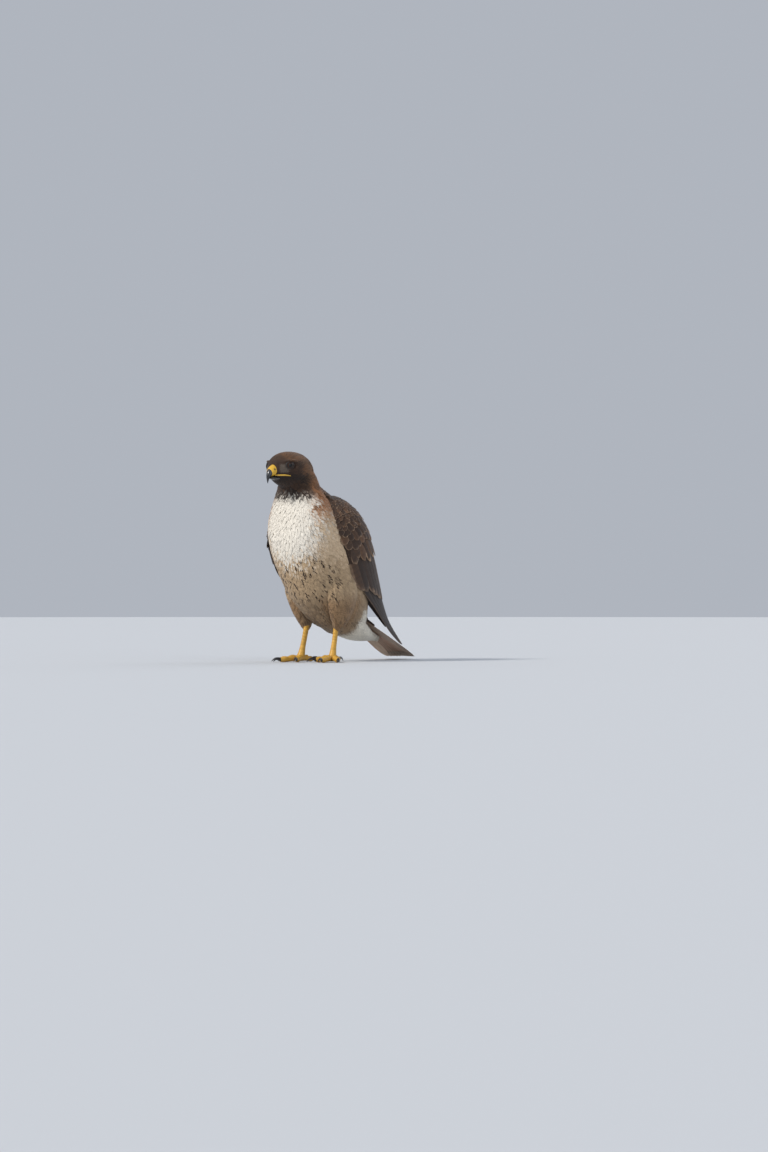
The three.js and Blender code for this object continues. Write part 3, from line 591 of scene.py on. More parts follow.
def markings(points, chance):
    left, forward, up = points[:, 0], forward_of(points), points[:, 2]
    wide = np.abs(left)
    above = over_shoulders(points)
    ahead, out, high = head_frame(points)
    tone = np.repeat(TONES["belly"][None], len(points), 0)

    def lay(name, mask, strength=1.0):
        nonlocal tone
        tone = mix(tone, TONES[name], np.clip(mask * strength, 0, 1)[:, None])

    jitter = chance - 0.5
    lay("breast_side", ramp(up + 30 * jitter, 160, 200))
    lay("breast", ramp(up + 36 * jitter - 0.5 * wide, 160, 192) * ramp(wide + 22 * jitter, 58, 31))
    # The lower belly is laid greyer and darker towards the bottom: partly its own greyish buff, partly
    # painted shade under the belly.
    lay("grey_belly_and_shade", ramp(up + 30 * jitter, 142, 96) * mix(0.35, 1.0, chance))
    leg = ramp(up, 132, 108) * ramp(wide, 20, 32) * ramp(forward, -48, -38)
    lay("thigh", leg)
    lay("back", ramp(above, 12, 30))
    under = ramp(forward, -48, -66) * ramp(up - 83 - 0.425 * (forward + 98), 2, -8)
    lay("under_tail", under)
    collar = np.maximum(ramp(wide + 12 * jitter, 30, 44), ramp(above, -8, 12))
    collar = ramp(up + 12 * jitter, 236, 272) * collar
    lay("nape", collar)
    lay("throat", ramp(up + 12 * jitter, 277, 291) * ramp(above, 18, 4) * ramp(wide, 40, 28))
    head = ramp(up + 10 * jitter, 290, 306)
    lay("crown", head)
    lay("nape", head * ramp(ahead, -8, -34) * ramp(high, 16, -4), 0.75)
    lay("face", head * ramp(ahead, -4, 12) * ramp(high, 13, 8) * ramp(high, -18, -8), 0.9)
    lay("face", head * ramp(ahead, 22, 30), 0.8)
    lay("throat", head * ramp(high + 5 * jitter, -6, -14) * ramp(ahead, -20, -4))
    lores = ramp(ahead, 25, 29) * ramp(high, 5, 2) * ramp(high, -10, -7)
    lay("lores", lores * ramp(np.abs(out), 9, 13), 0.45)
    band = ramp(up, 202, 180) * ramp(up, 96, 124) * ramp(wide, 60, 48) * ramp(above, 8, -8)
    roll, middle, down = cells(points, 6.8, 25.0)
    streak = band * (roll < 0.68) * (middle < 0.16) * (down < 0.58)
    flank = ramp(up, 118, 134) * ramp(up, 262, 240) * ramp(above, 8, -8) * ramp(wide, 20, 36)
    low_belly = ramp(up, 124, 100) * ramp(above, 8, -8)
    fine, middle, _ = cells(points, 4.4, 14.0)
    finer_rows = ((0.4, flank, 0.2, 0.3), (0.6, collar, 0.45, 0.36), (0.5, low_belly, 0.35, 0.36))
    for strength, place, share, thin in finer_rows:
        streak = np.maximum(streak, strength * place * (fine < share) * (middle < thin))
    streak = streak * (1 - under)
    streak = np.maximum(streak, 0.3 * head * (chance < 0.4))
    edge = 0.13 * ramp(above, 14, 32) + 0.1 * collar
    bar = 0.5 * leg * (chance < 0.7)
    return tone, np.stack([streak, edge, bar], 1)


def sizes(points):
    forward, up = forward_of(points), points[:, 2]
    ahead, _, _ = head_frame(points)
    length = np.full(len(points), 19.0)
    length = mix(length, 13.0, ramp(up, 215, 280))
    length = mix(length, 7.0, ramp(up, 286, 304))
    length = mix(length, 3.6, ramp(up, 296, 304) * ramp(ahead, 4, 26))
    length = mix(length, 9.0, ramp(up, 84, 62) * ramp(forward, -46, -38))
    length = mix(length, 30.0, ramp(forward, -52, -80))
    length = mix(length, 40.0, ramp(forward, -110, -140))
    return length


tone, marks = markings(skin_points, np.full(len(skin_points), 0.5))
# The skin is laid at 0.8 of the coat's tone: painted shade where it shows between the feathers.
colour_points(skin.data, mix(tone * 0.8, TONES["drop"], 0.6 * marks[:, :1]))
print("tones:", len(TONES), "marked skin points:", int((marks[:, 0] > 0.5).sum()))

# %% [markdown]
# ## The coat
# Feathers grow in even rows, all lying from bill to tail. Roots are scattered over the skin
# with a spacing that follows the feather's length, each vane is bent along the skin below it,
# and its tip stands a little higher than its root so that the next one tucks under it.

# %% Scatter roots
TRIES_PER_ROOT = 5


def scatter(keep, spacing, seed):
    rolls = np.random.default_rng(seed)
    corners = skin_points[[f if len(f) == 4 else (*f, f[0]) for f in skin_faces]]
    corners = corners[keep(corners.mean(1))]
    crossed = np.cross(corners[:, 2] - corners[:, 0], corners[:, 3] - corners[:, 1])
    area = np.linalg.norm(crossed, axis=1) / 2
    want = area / spacing(corners.mean(1)) ** 2
    count = int(want.sum() * TRIES_PER_ROOT)
    chosen = rolls.choice(len(corners), count, p=want / want.sum())
    u, v = rolls.random((2, count, 1))
    c = corners[chosen]
    spots = mix(mix(c[:, 0], c[:, 1], u), mix(c[:, 3], c[:, 2], u), v)
    gap = spacing(spots)
    cell = gap.max()
    keys = np.floor(spots / cell).astype(int).tolist()
    near = [(i, j, k) for i in (-1, 0, 1) for j in (-1, 0, 1) for k in (-1, 0, 1)]
    grid, kept, listed = {}, [], spots.tolist()
    for n, ((a, b, c), (x, y, z)) in enumerate(zip(keys, listed)):
        limit = gap[n] ** 2
        clear = all(
            (x - p[0]) ** 2 + (y - p[1]) ** 2 + (z - p[2]) ** 2 > limit
            for i, j, k in near
            for p in grid.get((a + i, b + j, c + k), ())
        )
        if clear:
            grid.setdefault((a, b, c), []).append((x, y, z))
            kept.append(n)
    return spots[kept]


def lie(points):
    forward, up = forward_of(points), points[:, 2]
    ahead, _, _ = head_frame(points)
    way = np.repeat(np.array([[0.0, 0.72, -0.69]]), len(points), 0)
    leg = ramp(up, 128, 104) * ramp(np.abs(points[:, 0]), 18, 30) * ramp(forward, -50, -40)
    way = mix(way, np.array([0.0, 0.15, -1.0]), leg[:, None])
    way = mix(way, np.array([0.0, 1.0, -0.38]), ramp(forward, -46, -66)[:, None])
    from_bill = unit(points - on_head(40, 0, -6))
    head_way = mix(from_bill, np.array([0.0, 0.25, -1.0]), ramp(ahead, 6, -34)[:, None])
    return unit(mix(way, head_way, ramp(up, 284, 302)[:, None]))


print("lie of a breast feather:", lie(at([0.0], 20.0, 220.0)).round(2).tolist())


# %% Lay vanes on the skin
VANE_WIDTHS = [[0, 0.4], [0.3, 0.92], [0.55, 1.0], [0.78, 0.78], [0.92, 0.45], [1, 0.06]]
MID_RIB_HEIGHT, EDGE_DROOP = 0.22, 0.08
LIFT_SHARE, WANDER = 0.15, 0.09
TUFT_PATCH = 0.003


def lay_coat(name, roots, slot, stations, width_share, unrolled):
    rolls = np.random.default_rng(len(roots))
    count = len(roots)
    chance = rolls.random(count)
    length = sizes(roots) * rolls.uniform(0.85, 1.15, count)
    half = length * width_share * rolls.uniform(0.9, 1.12, count)
    way = lie(roots) + rolls.normal(0, WANDER, (count, 3))
    depth = np.minimum(COAT_DEPTH, length * LIFT_SHARE)
    t = np.linspace(0, 1, stations)
    middle, normal = np.empty((count, stations, 3)), np.empty((count, stations, 3))
    for i in range(count):
        spot, step = Vector(roots[i]), Vector(way[i])
        for j in range(stations):
            hit, face_normal, _, _ = skin_tree.find_nearest(spot)
            middle[i, j], normal[i, j] = hit, face_normal
            flat = step - face_normal * step.dot(face_normal)
            if flat.length > 1e-4:
                step = flat.normalized()
            spot = hit + step * (length[i] / (stations - 1))
    side = unit(np.cross(unit(np.gradient(middle, axis=1)), normal))
    rise = depth[:, None] * mix(-0.25, 0.98, ramp(t, 0, 0.9)[None])
    wide = (half[:, None] * np.interp(t, *np.array(VANE_WIDTHS).T))[..., None]
    spine = middle + normal * rise[..., None]
    droop = normal * wide * EDGE_DROOP
    edges = [spine - side * wide - droop, spine + normal * MID_RIB_HEIGHT, spine + side * wide - droop]
    points = np.stack(edges, 2).reshape(-1, 3)
    piece = new_piece(name, points, ring_faces(count, stations, 3), COAT_VANES, slot, 70)
    tone, marks = markings(roots, chance)
    tone = tone * rolls.uniform(0.9, 1.08, (count, 1))
    vane = np.empty((count, stations, 3, 3))
    vane[..., 0] = [-1.0, 0.0, 1.0]
    vane[..., 1], vane[..., 2] = t[None, :, None], chance[:, None, None]
    each = stations * 3
    colour_points(piece.data, np.repeat(tone, each, 0), vane.reshape(-1, 3), np.repeat(marks, each, 0))
    set_uv(piece.data, tuft_uv(roots, unrolled, vane))


def tuft_uv(roots, unrolled, vane):
    """Each vane gets a small patch where its root lies on the skin unrolled round its own middle."""
    strip = np.zeros(len(roots), int)
    if unrolled == "legs":
        leg = (roots[:, 2] < 118) & (np.abs(roots[:, 0]) > 14)
        strip = np.where(leg, np.where(roots[:, 0] > 0, 1, 2), 0)
    across, lengthwise, through = (0, 1, 2) if unrolled == "back" else (0, 2, 1)
    place = np.empty((len(roots), 2))
    strips = strip.max() + 1
    for k in range(strips):
        spots = roots[strip == k]
        low, high = spots.min(0), spots.max(0)
        away = spots - (low + high) / 2
        turn = np.arctan2(away[:, across], away[:, through]) / (2 * math.pi) + 0.5
        share = (spots[:, lengthwise] - low[lengthwise]) / (high - low)[lengthwise]
        place[strip == k] = np.stack([(k + 0.01 + 0.98 * turn) / strips, 0.01 + 0.98 * share], 1)
    local = np.stack([vane[..., 0] * TUFT_PATCH / 2, (vane[..., 1] - 0.5) * TUFT_PATCH], -1)
    return (place[:, None, None] + local).reshape(-1, 2)


print("map patch of one feather:", TUFT_PATCH)


# %% Which parts get which feathers
HEAD_FROM, BREAST_FROM, BELLY_FROM = 292, 205, 124
BACK_FROM = 6
TAIL_END = {"forward": -52, "up": 100}
BILL_BASE = {"ahead": 38.6, "up": 6}
BARE_ROUND_EYE = 7.7


def is_head(p):
    return p[:, 2] > HEAD_FROM


def bears_head_feathers(p):
    ahead, _, up = head_frame(p)
    bare = (ahead > BILL_BASE["ahead"]) & (up < BILL_BASE["up"])
    for side in SIDES.values():
        away = p - on_head(EYE["ahead"], side * (EYE["out"] + 4), EYE["up"])
        bare |= np.linalg.norm(away, axis=1) < BARE_ROUND_EYE
    return is_head(p) & ~bare


def is_tail_end(p):
    return (forward_of(p) < TAIL_END["forward"]) & (p[:, 2] < TAIL_END["up"])


def is_back(p):
    return (over_shoulders(p) > BACK_FROM) & ~is_head(p) & ~is_tail_end(p)


def is_front(p, low, high):
    front = (over_shoulders(p) <= BACK_FROM) & ~is_head(p) & ~is_tail_end(p)
    return front & (p[:, 2] > low) & (p[:, 2] <= high)


def breast(p):
    return is_front(p, BREAST_FROM, math.inf)


def belly(p):
    return is_front(p, BELLY_FROM, BREAST_FROM)


def thighs(p):
    return is_front(p, -math.inf, BELLY_FROM)


def head_gap(p):
    return np.clip(sizes(p) * 0.25, 0.95, 1.9)


def fine_gap(p):
    return np.clip(sizes(p) * 0.12, 1.2, 2.15)


def back_gap(p):
    return np.full(len(p), 3.8)


def vent_gap(p):
    return np.full(len(p), 3.2)


COATS = {
    "head_coat": (bears_head_feathers, head_gap, "head_feathers", 4, 0.24, "up"),
    "breast_coat": (breast, fine_gap, "breast_feathers", 5, 0.14, "up"),
    "belly_coat": (belly, fine_gap, "belly_feathers", 5, 0.14, "up"),
    "thigh_coat": (thighs, fine_gap, "thigh_feathers", 5, 0.15, "legs"),
    "back_coat": (is_back, back_gap, "back_feathers", 6, 0.3, "back"),
    "vent_coat": (is_tail_end, vent_gap, "under_tail_feathers", 7, 0.13, "back"),
}
for seed, (name, (grows, gap, *looks)) in enumerate(COATS.items(), 1):
    roots = scatter(grows, gap, seed)
    lay_coat(name, roots, *looks)
    print("feathers in", name, len(roots))

# %% [markdown]
# ## Folded wings
# A folded wing is a bowed surface with tiers of vanes on it: small coverts in rows at the
# bend, two tiers of longer coverts, the secondaries and at the end the primaries. One surface
# formula carries them all, so that each tier follows the wing's bow.

# %% The wing's face
WING_ROWS = [
    [46, 266, 46, 32, 282, 32, 4], [43, 240, 60, -4, 282, 28, 20], [34, 212, 67, -40, 266, 26, 31],
    [15, 182, 70, -74, 234, 24, 34], [-8, 146, 69, -104, 194, 21, 32], [-48, 106, 63, -134, 150, 16, 26],
    [-104, 77, 53, -164, 110, 11, 17], [-176, 46, 37, -200, 74, 9, 7], [-238, 24, 25, -245, 34, 17, 1.5],
]
RIGHT_WING_REACH = [0, 10, 24, 34, 34, 12, 0, 0, 0]


def outward(normal, side):
    return normal * np.where(normal[..., :1] * side < 0, -1, 1)


def wing_face(side):
    rows = np.array(WING_ROWS, float)
    if side < 0:
        rows[:, 0] += RIGHT_WING_REACH

    def edges(u):
        low_f, low_u, low_o, high_f, high_u, high_o, bulge = np.moveaxis(along(rows, u), -1, 0)
        return at(side * low_o, low_f, low_u), at(side * high_o, high_f, high_u), bulge

    def base(u, v):
        low, high, bulge = edges(u)
        (low_after, high_after, _), (low_before, high_before, _) = edges(u + 0.02), edges(u - 0.02)
        ahead = (low_after + high_after - low_before - high_before) * [0, 1, 1]
        out = outward(unit(np.cross(high - low, ahead)), side)
        flat = low + (high - low) * v[..., None]
        bow = (bulge * np.sin(math.pi * np.clip(v, 0, 1)))[..., None]
        return flat + out * bow, flat, out

    def point(u, v, n):
        u, v, n = arrays(u, v, n)
        e = 0.01
        du = base(u + e, v)[0] - base(u - e, v)[0]
        dv = base(u, v + e)[0] - base(u, v - e)[0]
        return base(u, v)[0] + outward(unit(np.cross(du, dv)), side) * n[..., None]

    def inner(u, v, n):
        u, v, n = arrays(u, v, n)
        _, flat, out = base(u, v)
        return flat + out * n[..., None]

    def width(u):
        low, high, bulge = edges(u)
        return np.linalg.norm(low - high, axis=-1) + 1.3 * bulge

    return point, inner, width


def back_face(side):
    def point(u, v, n):
        u, v, n = arrays(u, v, n)
        low_f, low_u, high_f, high_u, half = np.moveaxis(along(BODY, mix(0.8, 0.2, u)), -1, 0)
        middle = at(0, (low_f + high_f) / 2, (low_u + high_u) / 2)
        over = at(0, high_f, high_u) - middle
        a = np.radians(v)
        n = n - 4.2 * ramp(v, 20, 44) * ramp(u, 0.26, 0.06)
        spot = over * np.cos(a)[..., None] + LEFT * (side * np.sin(a) * half)[..., None]
        return middle + spot + unit(spot) * n[..., None]

    return point, point, lambda u: np.full(np.shape(u), 1.15)


TAIL = {"root": (-98, 83), "tip": (-281, 5.2), "spacing": (1.6, 4.8), "half": 10.0, "roof": 4.2}
TAIL_VANE_COUNT = 12


def tail_face():
    normal = np.cross(LEFT, unit(at(0, *TAIL["tip"]) - at(0, *TAIL["root"])))
    normal = normal * (1 if normal[2] > 0 else -1)
    edge = TAIL["spacing"][1] * TAIL_VANE_COUNT / 2 + TAIL["half"]

    def point(u, v, n):
        u, v, n = arrays(u, v, n)
        spot = at(v, *(mix(a, b, u) for a, b in zip(TAIL["root"], TAIL["tip"])))
        return spot + normal * (n - TAIL["roof"] * (v / edge) ** 2)[..., None]

    return point, point, lambda u: np.ones(np.shape(u))


print("wing rows:", len(WING_ROWS), "tail from", TAIL["root"], "to", TAIL["tip"])


# %% Vanes and their bed
FLIGHT_WIDTHS = [[0, 0.5], [0.15, 0.8], [0.5, 1.0], [0.8, 0.95], [0.92, 0.74], [0.98, 0.42], [1, 0.16]]
CELL_MARGIN = 0.04


def lay_vanes(name, face, specs, material, slot, stations, columns, paints=None):
    """Vanes whose ring runs over the upper side and back below; paints are those of a tail."""
    point, _, width = face
    count, t = len(specs), np.linspace(0, 1, stations)
    root, tip, half, low, high, tone, marks, thick = (
        np.array([spec[key] for spec in specs], float)[:, None]
        for key in ("root", "tip", "half", "low", "high", "tone", "marks", "thick")
    )
    u, v = (mix(root[..., k], tip[..., k], t) for k in (0, 1))
    across = np.linspace(-1, 1, columns)
    ring = np.concatenate([across, across[1:-1][::-1]])
    sides = len(ring)
    under = np.arange(sides) >= columns
    share = np.interp(t, *np.array(FLIGHT_WIDTHS).T)[None]
    reach = (half * share / width(u))[..., None] * ring
    thickness = thick[..., None] * np.sqrt(np.clip(1 - ring**2, 0.0, 1))
    bend = -1.1 * (ring**2) * (half[..., None] / 15)
    height = mix(low, high, ramp(t, 0, 1))[..., None] + bend + np.where(under, -0.5, 0.5) * thickness
    points = point(u[..., None], v[..., None] + reach, height).reshape(-1, 3)
    piece = new_piece(name, points, ring_faces(count, stations, sides), material, slot, 60)
    vane = np.empty((count, stations, sides, 3))
    vane[..., 0], vane[..., 1] = ring, t[None, :, None]
    vane[..., 2] = np.random.default_rng(count).random(count)[:, None, None]
    tone = np.broadcast_to(tone[:, None], vane.shape).copy()
    if paints:
        dark = (ramp(t, 0.87, 0.9) * ramp(t, 0.955, 0.935))[:, None, None]
        tone = mix(mix(tone, paints["band"], dark), paints["tip"], ramp(t, 0.955, 0.975)[:, None, None])
        tone[:, :, under] = paints["under"]
    marks = np.broadcast_to(marks[:, None], vane.shape)
    colour_points(piece.data, tone.reshape(-1, 3), vane.reshape(-1, 3), marks.reshape(-1, 3))
    grid = math.ceil(math.sqrt(count))
    cell = np.stack([np.arange(count) % grid, np.arange(count) // grid], 1)[:, None, None]
    wrap = 1 - 2 * CELL_MARGIN
    round_ring = np.broadcast_to(CELL_MARGIN + wrap * np.arange(sides) / sides, vane.shape[:3])
    local = np.stack([round_ring, 0.05 + 0.9 * vane[..., 1]], -1)
    set_uv(piece.data, ((cell + local) / grid).reshape(-1, 2), sides, wrap / grid)
    return piece


def bed(name, face, span, edge, deep, top, tone, steps=40, columns=24):
    point, inner, _ = face
    u = np.linspace(*span, steps)[:, None]
    low, high = (np.interp(u, span, e) for e in edge)
    v = low + (high - low) * np.linspace(0, 1, columns)[None]
    above = point(u, v, np.interp(u, *zip(*top)))
    below = inner(u, v, np.interp(u, span, deep))
    rings = np.concatenate([above, below[:, ::-1]], 1)
    return form(name, [rings], [tone], BARE, "back_feathers", 50)


print("rows of a flight feather's outline:", len(FLIGHT_WIDTHS))


# %% Wing feathers
WING_TONE, RUST, FLIGHT_TONE = paint(70, 52, 41), paint(116, 84, 60), paint(46, 36, 31)
COVERT_MARKS = (0.35, 0.45, 0.0)
SCAPULAR_RISE = [(0.0, -1.6), (0.05, 0.2), (0.14, 3.6), (0.26, 5.6), (0.55, 6.2)]
COVERT_RISE, ARM_RISE = [(0.0, -4), (0.06, -1.6), (0.44, -2.6)], [(0.4, -3.8), (0.86, -6.4)]
# The beds under the coverts and scapulars are laid at 0.7 of the wing tone: painted shade under and between
# the vanes.
BEDS = {
    "coverts": ((0.0, 0.44), [(0.03, 0.03), (0.82, 0.97)], (-12, -9), COVERT_RISE, WING_TONE * 0.7),
    "arm": ((0.4, 0.86), [(0.06, 0.36), (0.97, 0.62)], (-9, -4), ARM_RISE, FLIGHT_TONE),
    "scapulars": ((0.03, 0.55), [(9, 9), (44, 40)], (-4, -4), SCAPULAR_RISE, WING_TONE * 0.7),
}
LESSER_ROWS, LESSER_STEP = 10, 0.026
SCAPULAR_ROWS, SCAPULAR_STEP, SCAPULARS_IN_ROW = 11, 0.05, 6
COVERTS_IN_ROW, SECONDARIES, PRIMARIES = 13, 12, 9
COVERT_TIERS = [
    [(0.235, 0.245), (0.33, 0.37), (0.06, 0.95), 8.4, -3.0, (-0.4, 0.7), COVERT_MARKS],
    [(0.27, 0.28), (0.38, 0.44), (0.07, 0.95), 8.8, -3.3, (-1.0, 0.5), COVERT_MARKS],
    [(0.3, 0.32), (0.44, 0.52), (0.08, 0.95), 9.2, -3.6, (-1.9, 0.2), (0.2, 0.5, 0.25)],
]


def wing_spec(root, tip, half, low, high, tone, marks, thick=0.9):
    places = {"root": root, "tip": tip, "half": half, "low": low, "high": high}
    return places | {"tone": tone, "marks": marks, "thick": thick}


def row_of(count, roots, tips, spread, half, low, highs, marks, rolls, tone=WING_TONE, stagger=0):
    specs = []
    for k in range(count):
        share = (k + 0.5 * stagger) / max(count - 1 + 0.5 * stagger, 1)
        v = mix(*spread, share)
        end = mix(*tips, share) + 0.11 * (tips[0] - roots[0]) * rolls.normal()
        tip = (end, v + 0.014 * rolls.normal())
        mottled = mix(tone, RUST, np.clip(rolls.normal(0.2, 0.3), 0, 0.9)) * rolls.uniform(0.78, 1.2)
        pale = 2.2 if rolls.random() < 0.2 else 1.0
        dark, light = rolls.uniform(0.4, 1.2), pale * rolls.uniform(0.4, 1.3)
        fringe = (marks[0] * dark, marks[1] * light, marks[2])
        root, wide = (mix(*roots, share), v), half * rolls.uniform(0.92, 1.08)
        specs.append(wing_spec(root, tip, wide, low, mix(*highs, share), mottled, fringe))
    return specs


def lesser_covert_rows(rolls):
    specs = []
    for row in range(LESSER_ROWS):
        start, odd = -0.012 + LESSER_STEP * row, row % 2
        tips = (start + 0.06, start + 0.072)
        spread = (0.04, min(0.96, 0.8 + 0.04 * row))
        highs = (min(0.3, -1.4 + 0.5 * row), min(0.8, -0.8 + 0.5 * row))
        places = ((start, start), tips, spread, 6.6, -3.0, highs)
        specs += row_of(COVERTS_IN_ROW + odd, *places, COVERT_MARKS, rolls, stagger=odd)
    return specs


def primary_specs(rolls):
    specs = []
    for k in range(PRIMARIES):
        share = k / (PRIMARIES - 1)
        root = (mix(0.56, 0.6, share), mix(0.1, 0.68, share))
        tip = (mix(1.0, 0.86, share) - 0.004, mix(0.3, 0.72, share))
        half, low, high = 8.6 * mix(0.85, 1.15, share), -6 + 2 * share, -3.0 + 1.32 * share
        tone = FLIGHT_TONE * rolls.uniform(0.85, 1.15)
        specs.append(wing_spec(root, tip, half, low, high, tone, (0.0, 0.25, 0.3), 1.0))
    return specs


def cape_rows(rolls):
    specs = []
    for row in range(SCAPULAR_ROWS):
        start, near_neck = -0.03 + SCAPULAR_STEP * row, ramp(row, 3, 0)
        tips = (start + 0.11, start + 0.13)
        highs = np.interp([tips[0], tips[0]], *zip(*SCAPULAR_RISE)) + [0.9, 2.0]
        tone = mix(WING_TONE, TONES["nape"], 0.5 * near_neck)
        places = ((start, start), tips, (7, 45), 7.8, highs[0] - 5.0 - 3 * near_neck, highs)
        specs += row_of(SCAPULARS_IN_ROW, *places, (0.4, 0.5, 0.0), rolls, tone, row % 2)
    for spec in specs:
        spec["tip"] = (spec["tip"][0], spec["root"][1] + 40 * (spec["tip"][1] - spec["root"][1]))
    return specs


for label, side in SIDES.items():
    rolls = np.random.default_rng(40 + side)
    face, back = wing_face(side), back_face(side)
    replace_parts(bed(f"wing_bed_{label}", face, *BEDS["coverts"]), f"wing_{label}_coverts")
    bed(f"arm_bed_{label}", face, *BEDS["arm"])
    lesser = lesser_covert_rows(rolls)
    lay_vanes(f"lesser_coverts_{label}", face, lesser, WING_VANES, "back_feathers", 8, 5)
    tiers = [spec for tier in COVERT_TIERS for spec in row_of(COVERTS_IN_ROW, *tier, rolls)]
    lay_vanes(f"covert_tiers_{label}", face, tiers, WING_VANES, "back_feathers", 14, 7)
    places = ((0.4, 0.42), (0.6, 0.8), (0.07, 0.93), 11.5, -4.4, (-3.0, -0.8), (0.15, 0.5, 0.35))
    second = row_of(SECONDARIES, *places, rolls, mix(WING_TONE, FLIGHT_TONE, 0.5))
    secondaries = lay_vanes(f"secondaries_{label}", face, second, WING_VANES, "back_feathers", 20, 9)
    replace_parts(secondaries, f"wing_{label}_secondaries")
    first = primary_specs(rolls)
    primaries = lay_vanes(f"primaries_{label}", face, first, WING_VANES, "flight_feathers", 22, 9)
    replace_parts(primaries, f"wing_{label}_primaries")
    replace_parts(bed(f"scapular_bed_{label}", back, *BEDS["scapulars"], 24, 12), f"scapulars_{label}")
    cape = cape_rows(rolls)
    lay_vanes(f"scapular_coat_{label}", back, cape, WING_VANES, "back_feathers", 12, 7)
    print(label, "wing vanes:", len(lesser), len(tiers), len(second), len(first), len(cape))

# %% [markdown]
# ## Tail
# Twelve feathers lie like a closed fan, the middle pair on top. From above they are brick
# red with a dark band near a pale tip; from below they are a pale buff grey.

# %% Tail feathers and the coverts over their roots
TAIL_PAINTS = {"band": paint(34, 26, 22), "tip": paint(214, 188, 160), "under": paint(178, 154, 132)}
tail = []
for k in range(TAIL_VANE_COUNT):
    place = k - (TAIL_VANE_COUNT - 1) / 2
    root = (0.0, place * TAIL["spacing"][0])
    tip = (1 - 0.0035 * abs(place) ** 1.6, place * TAIL["spacing"][1])
    tall = -abs(place) * 0.55
    tone = paint(150, 84, 52) * mix(0.9, 1.08, dice.random())
    tail.append(wing_spec(root, tip, TAIL["half"], tall * 0.6 + 0.6, tall + 0.6, tone, (0.0, 0.12, 0.0)))
tail_fan = lay_vanes("tail_fan", tail_face(), tail, TAIL_VANES, "tail_feathers", 48, 9, TAIL_PAINTS)
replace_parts(tail_fan, "tail")
over_tail = []
for row, count in ((2, 4), (1, 5), (0, 6)):
    for k in range(count):
        v = (k - (count - 1) / 2) * 6.4
        tip = (0.36 - 0.09 * row - 0.0035 * abs(v), v)
        tone = mix(WING_TONE, RUST, 0.6) * mix(0.85, 1.2, dice.random())
        over_tail.append(wing_spec((-0.05, v * 0.8), tip, 6.8, 2.6 + row, 2.0 + row, tone, (0.2, 0.6, 0.3)))
rump_coat = lay_vanes("over_tail_coverts", tail_face(), over_tail, WING_VANES, "back_feathers", 12, 7)
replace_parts(rump_coat, "tail_coverts_upper")
print("tail feathers:", len(tail), "coverts over their roots:", len(over_tail))

# %% [markdown]
# ## Bill, cere and eyes
# The bill is horn, blue-grey at the base and black at the hook. A waxy yellow cere with the
# nostrils sits behind it, and its colour runs back as the fleshy edge of the mouth. The eyes
# are dark brown glass under a heavy brow, each in a ring of dark lid.

# %% Bill
CERE = [
    [31, -13.4, 31, 4, 8], [35, -13.8, 35, 5.2, 9.1], [39, -14.1, 39, 4.9, 9],
    [42.2, -14.5, 43, 2.9, 8.3], [44.2, -14.9, 46.2, 0.6, 7.5],
    [45.4, -14.9, 48.4, -1.9, 6.6], [45.2, -14, 48.2, -3.4, 5.4],
]
HOOK = [
    [41.3, -14, 41.3, 2.8, 7.8], [44, -14.6, 45.5, 0.4, 6.9], [46.3, -15.6, 49.2, -4, 5.7],
    [48, -17.4, 51.8, -9.6, 4.3], [49.4, -20, 53, -15.6, 2.9],
    [50.2, -23.2, 52.8, -21.4, 1.6], [51, -26.8, 51.6, -26.6, 0.5],
]
LOWER_BILL = [
    [27, -20.5, 27, -14.6, 9], [36, -20.6, 36, -14.4, 7.2],
    [41.5, -19.8, 42, -15, 5.2], [45.4, -18.8, 46.2, -16.6, 2.4],
]


def bill_rings(rows, steps):
    return oval_rings(rows, steps, lambda ahead, up: on_head(ahead, 0, up), head_left, pinch=0.18)


def horn_form(name, rows, steps, start, end, power, node):
    tone = mix(paint(*start), paint(*end), np.linspace(0, 1, steps)[:, None, None] ** power)
    piece = form(name, [bill_rings(rows, steps)], [tone], HORN, "horn")
    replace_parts(piece, node)
    print(name, "faces:", len(piece.data.polygons))


horn_form("bill_hook", HOOK, 40, (72, 76, 84), (18, 17, 19), 0.5, "bill_upper")
horn_form("bill_under", LOWER_BILL, 20, (84, 84, 84), (22, 21, 23), 0.7, "bill_lower")

# %% Cere with nostrils and the edge of the mouth
NOSTRIL = {"ahead": 41, "up": -3.6, "deep": 2.2}
GAPE_RADII = [[20.5, 0.4], [24.5, 1.0], [29, 1.35], [34, 1.3], [39, 1.0]]
rings = bill_rings(CERE, 44)


def nostril_spot(rings, side, half_length, half_height):
    ahead, out, up = head_frame(rings)
    away = ((ahead - NOSTRIL["ahead"]) / half_length) ** 2 + ((up - NOSTRIL["up"]) / half_height) ** 2
    return np.exp(-away) * (out * side > 0)


hollows = [nostril_spot(rings, side, 1.9, 1.5) * side for side in SIDES.values()]
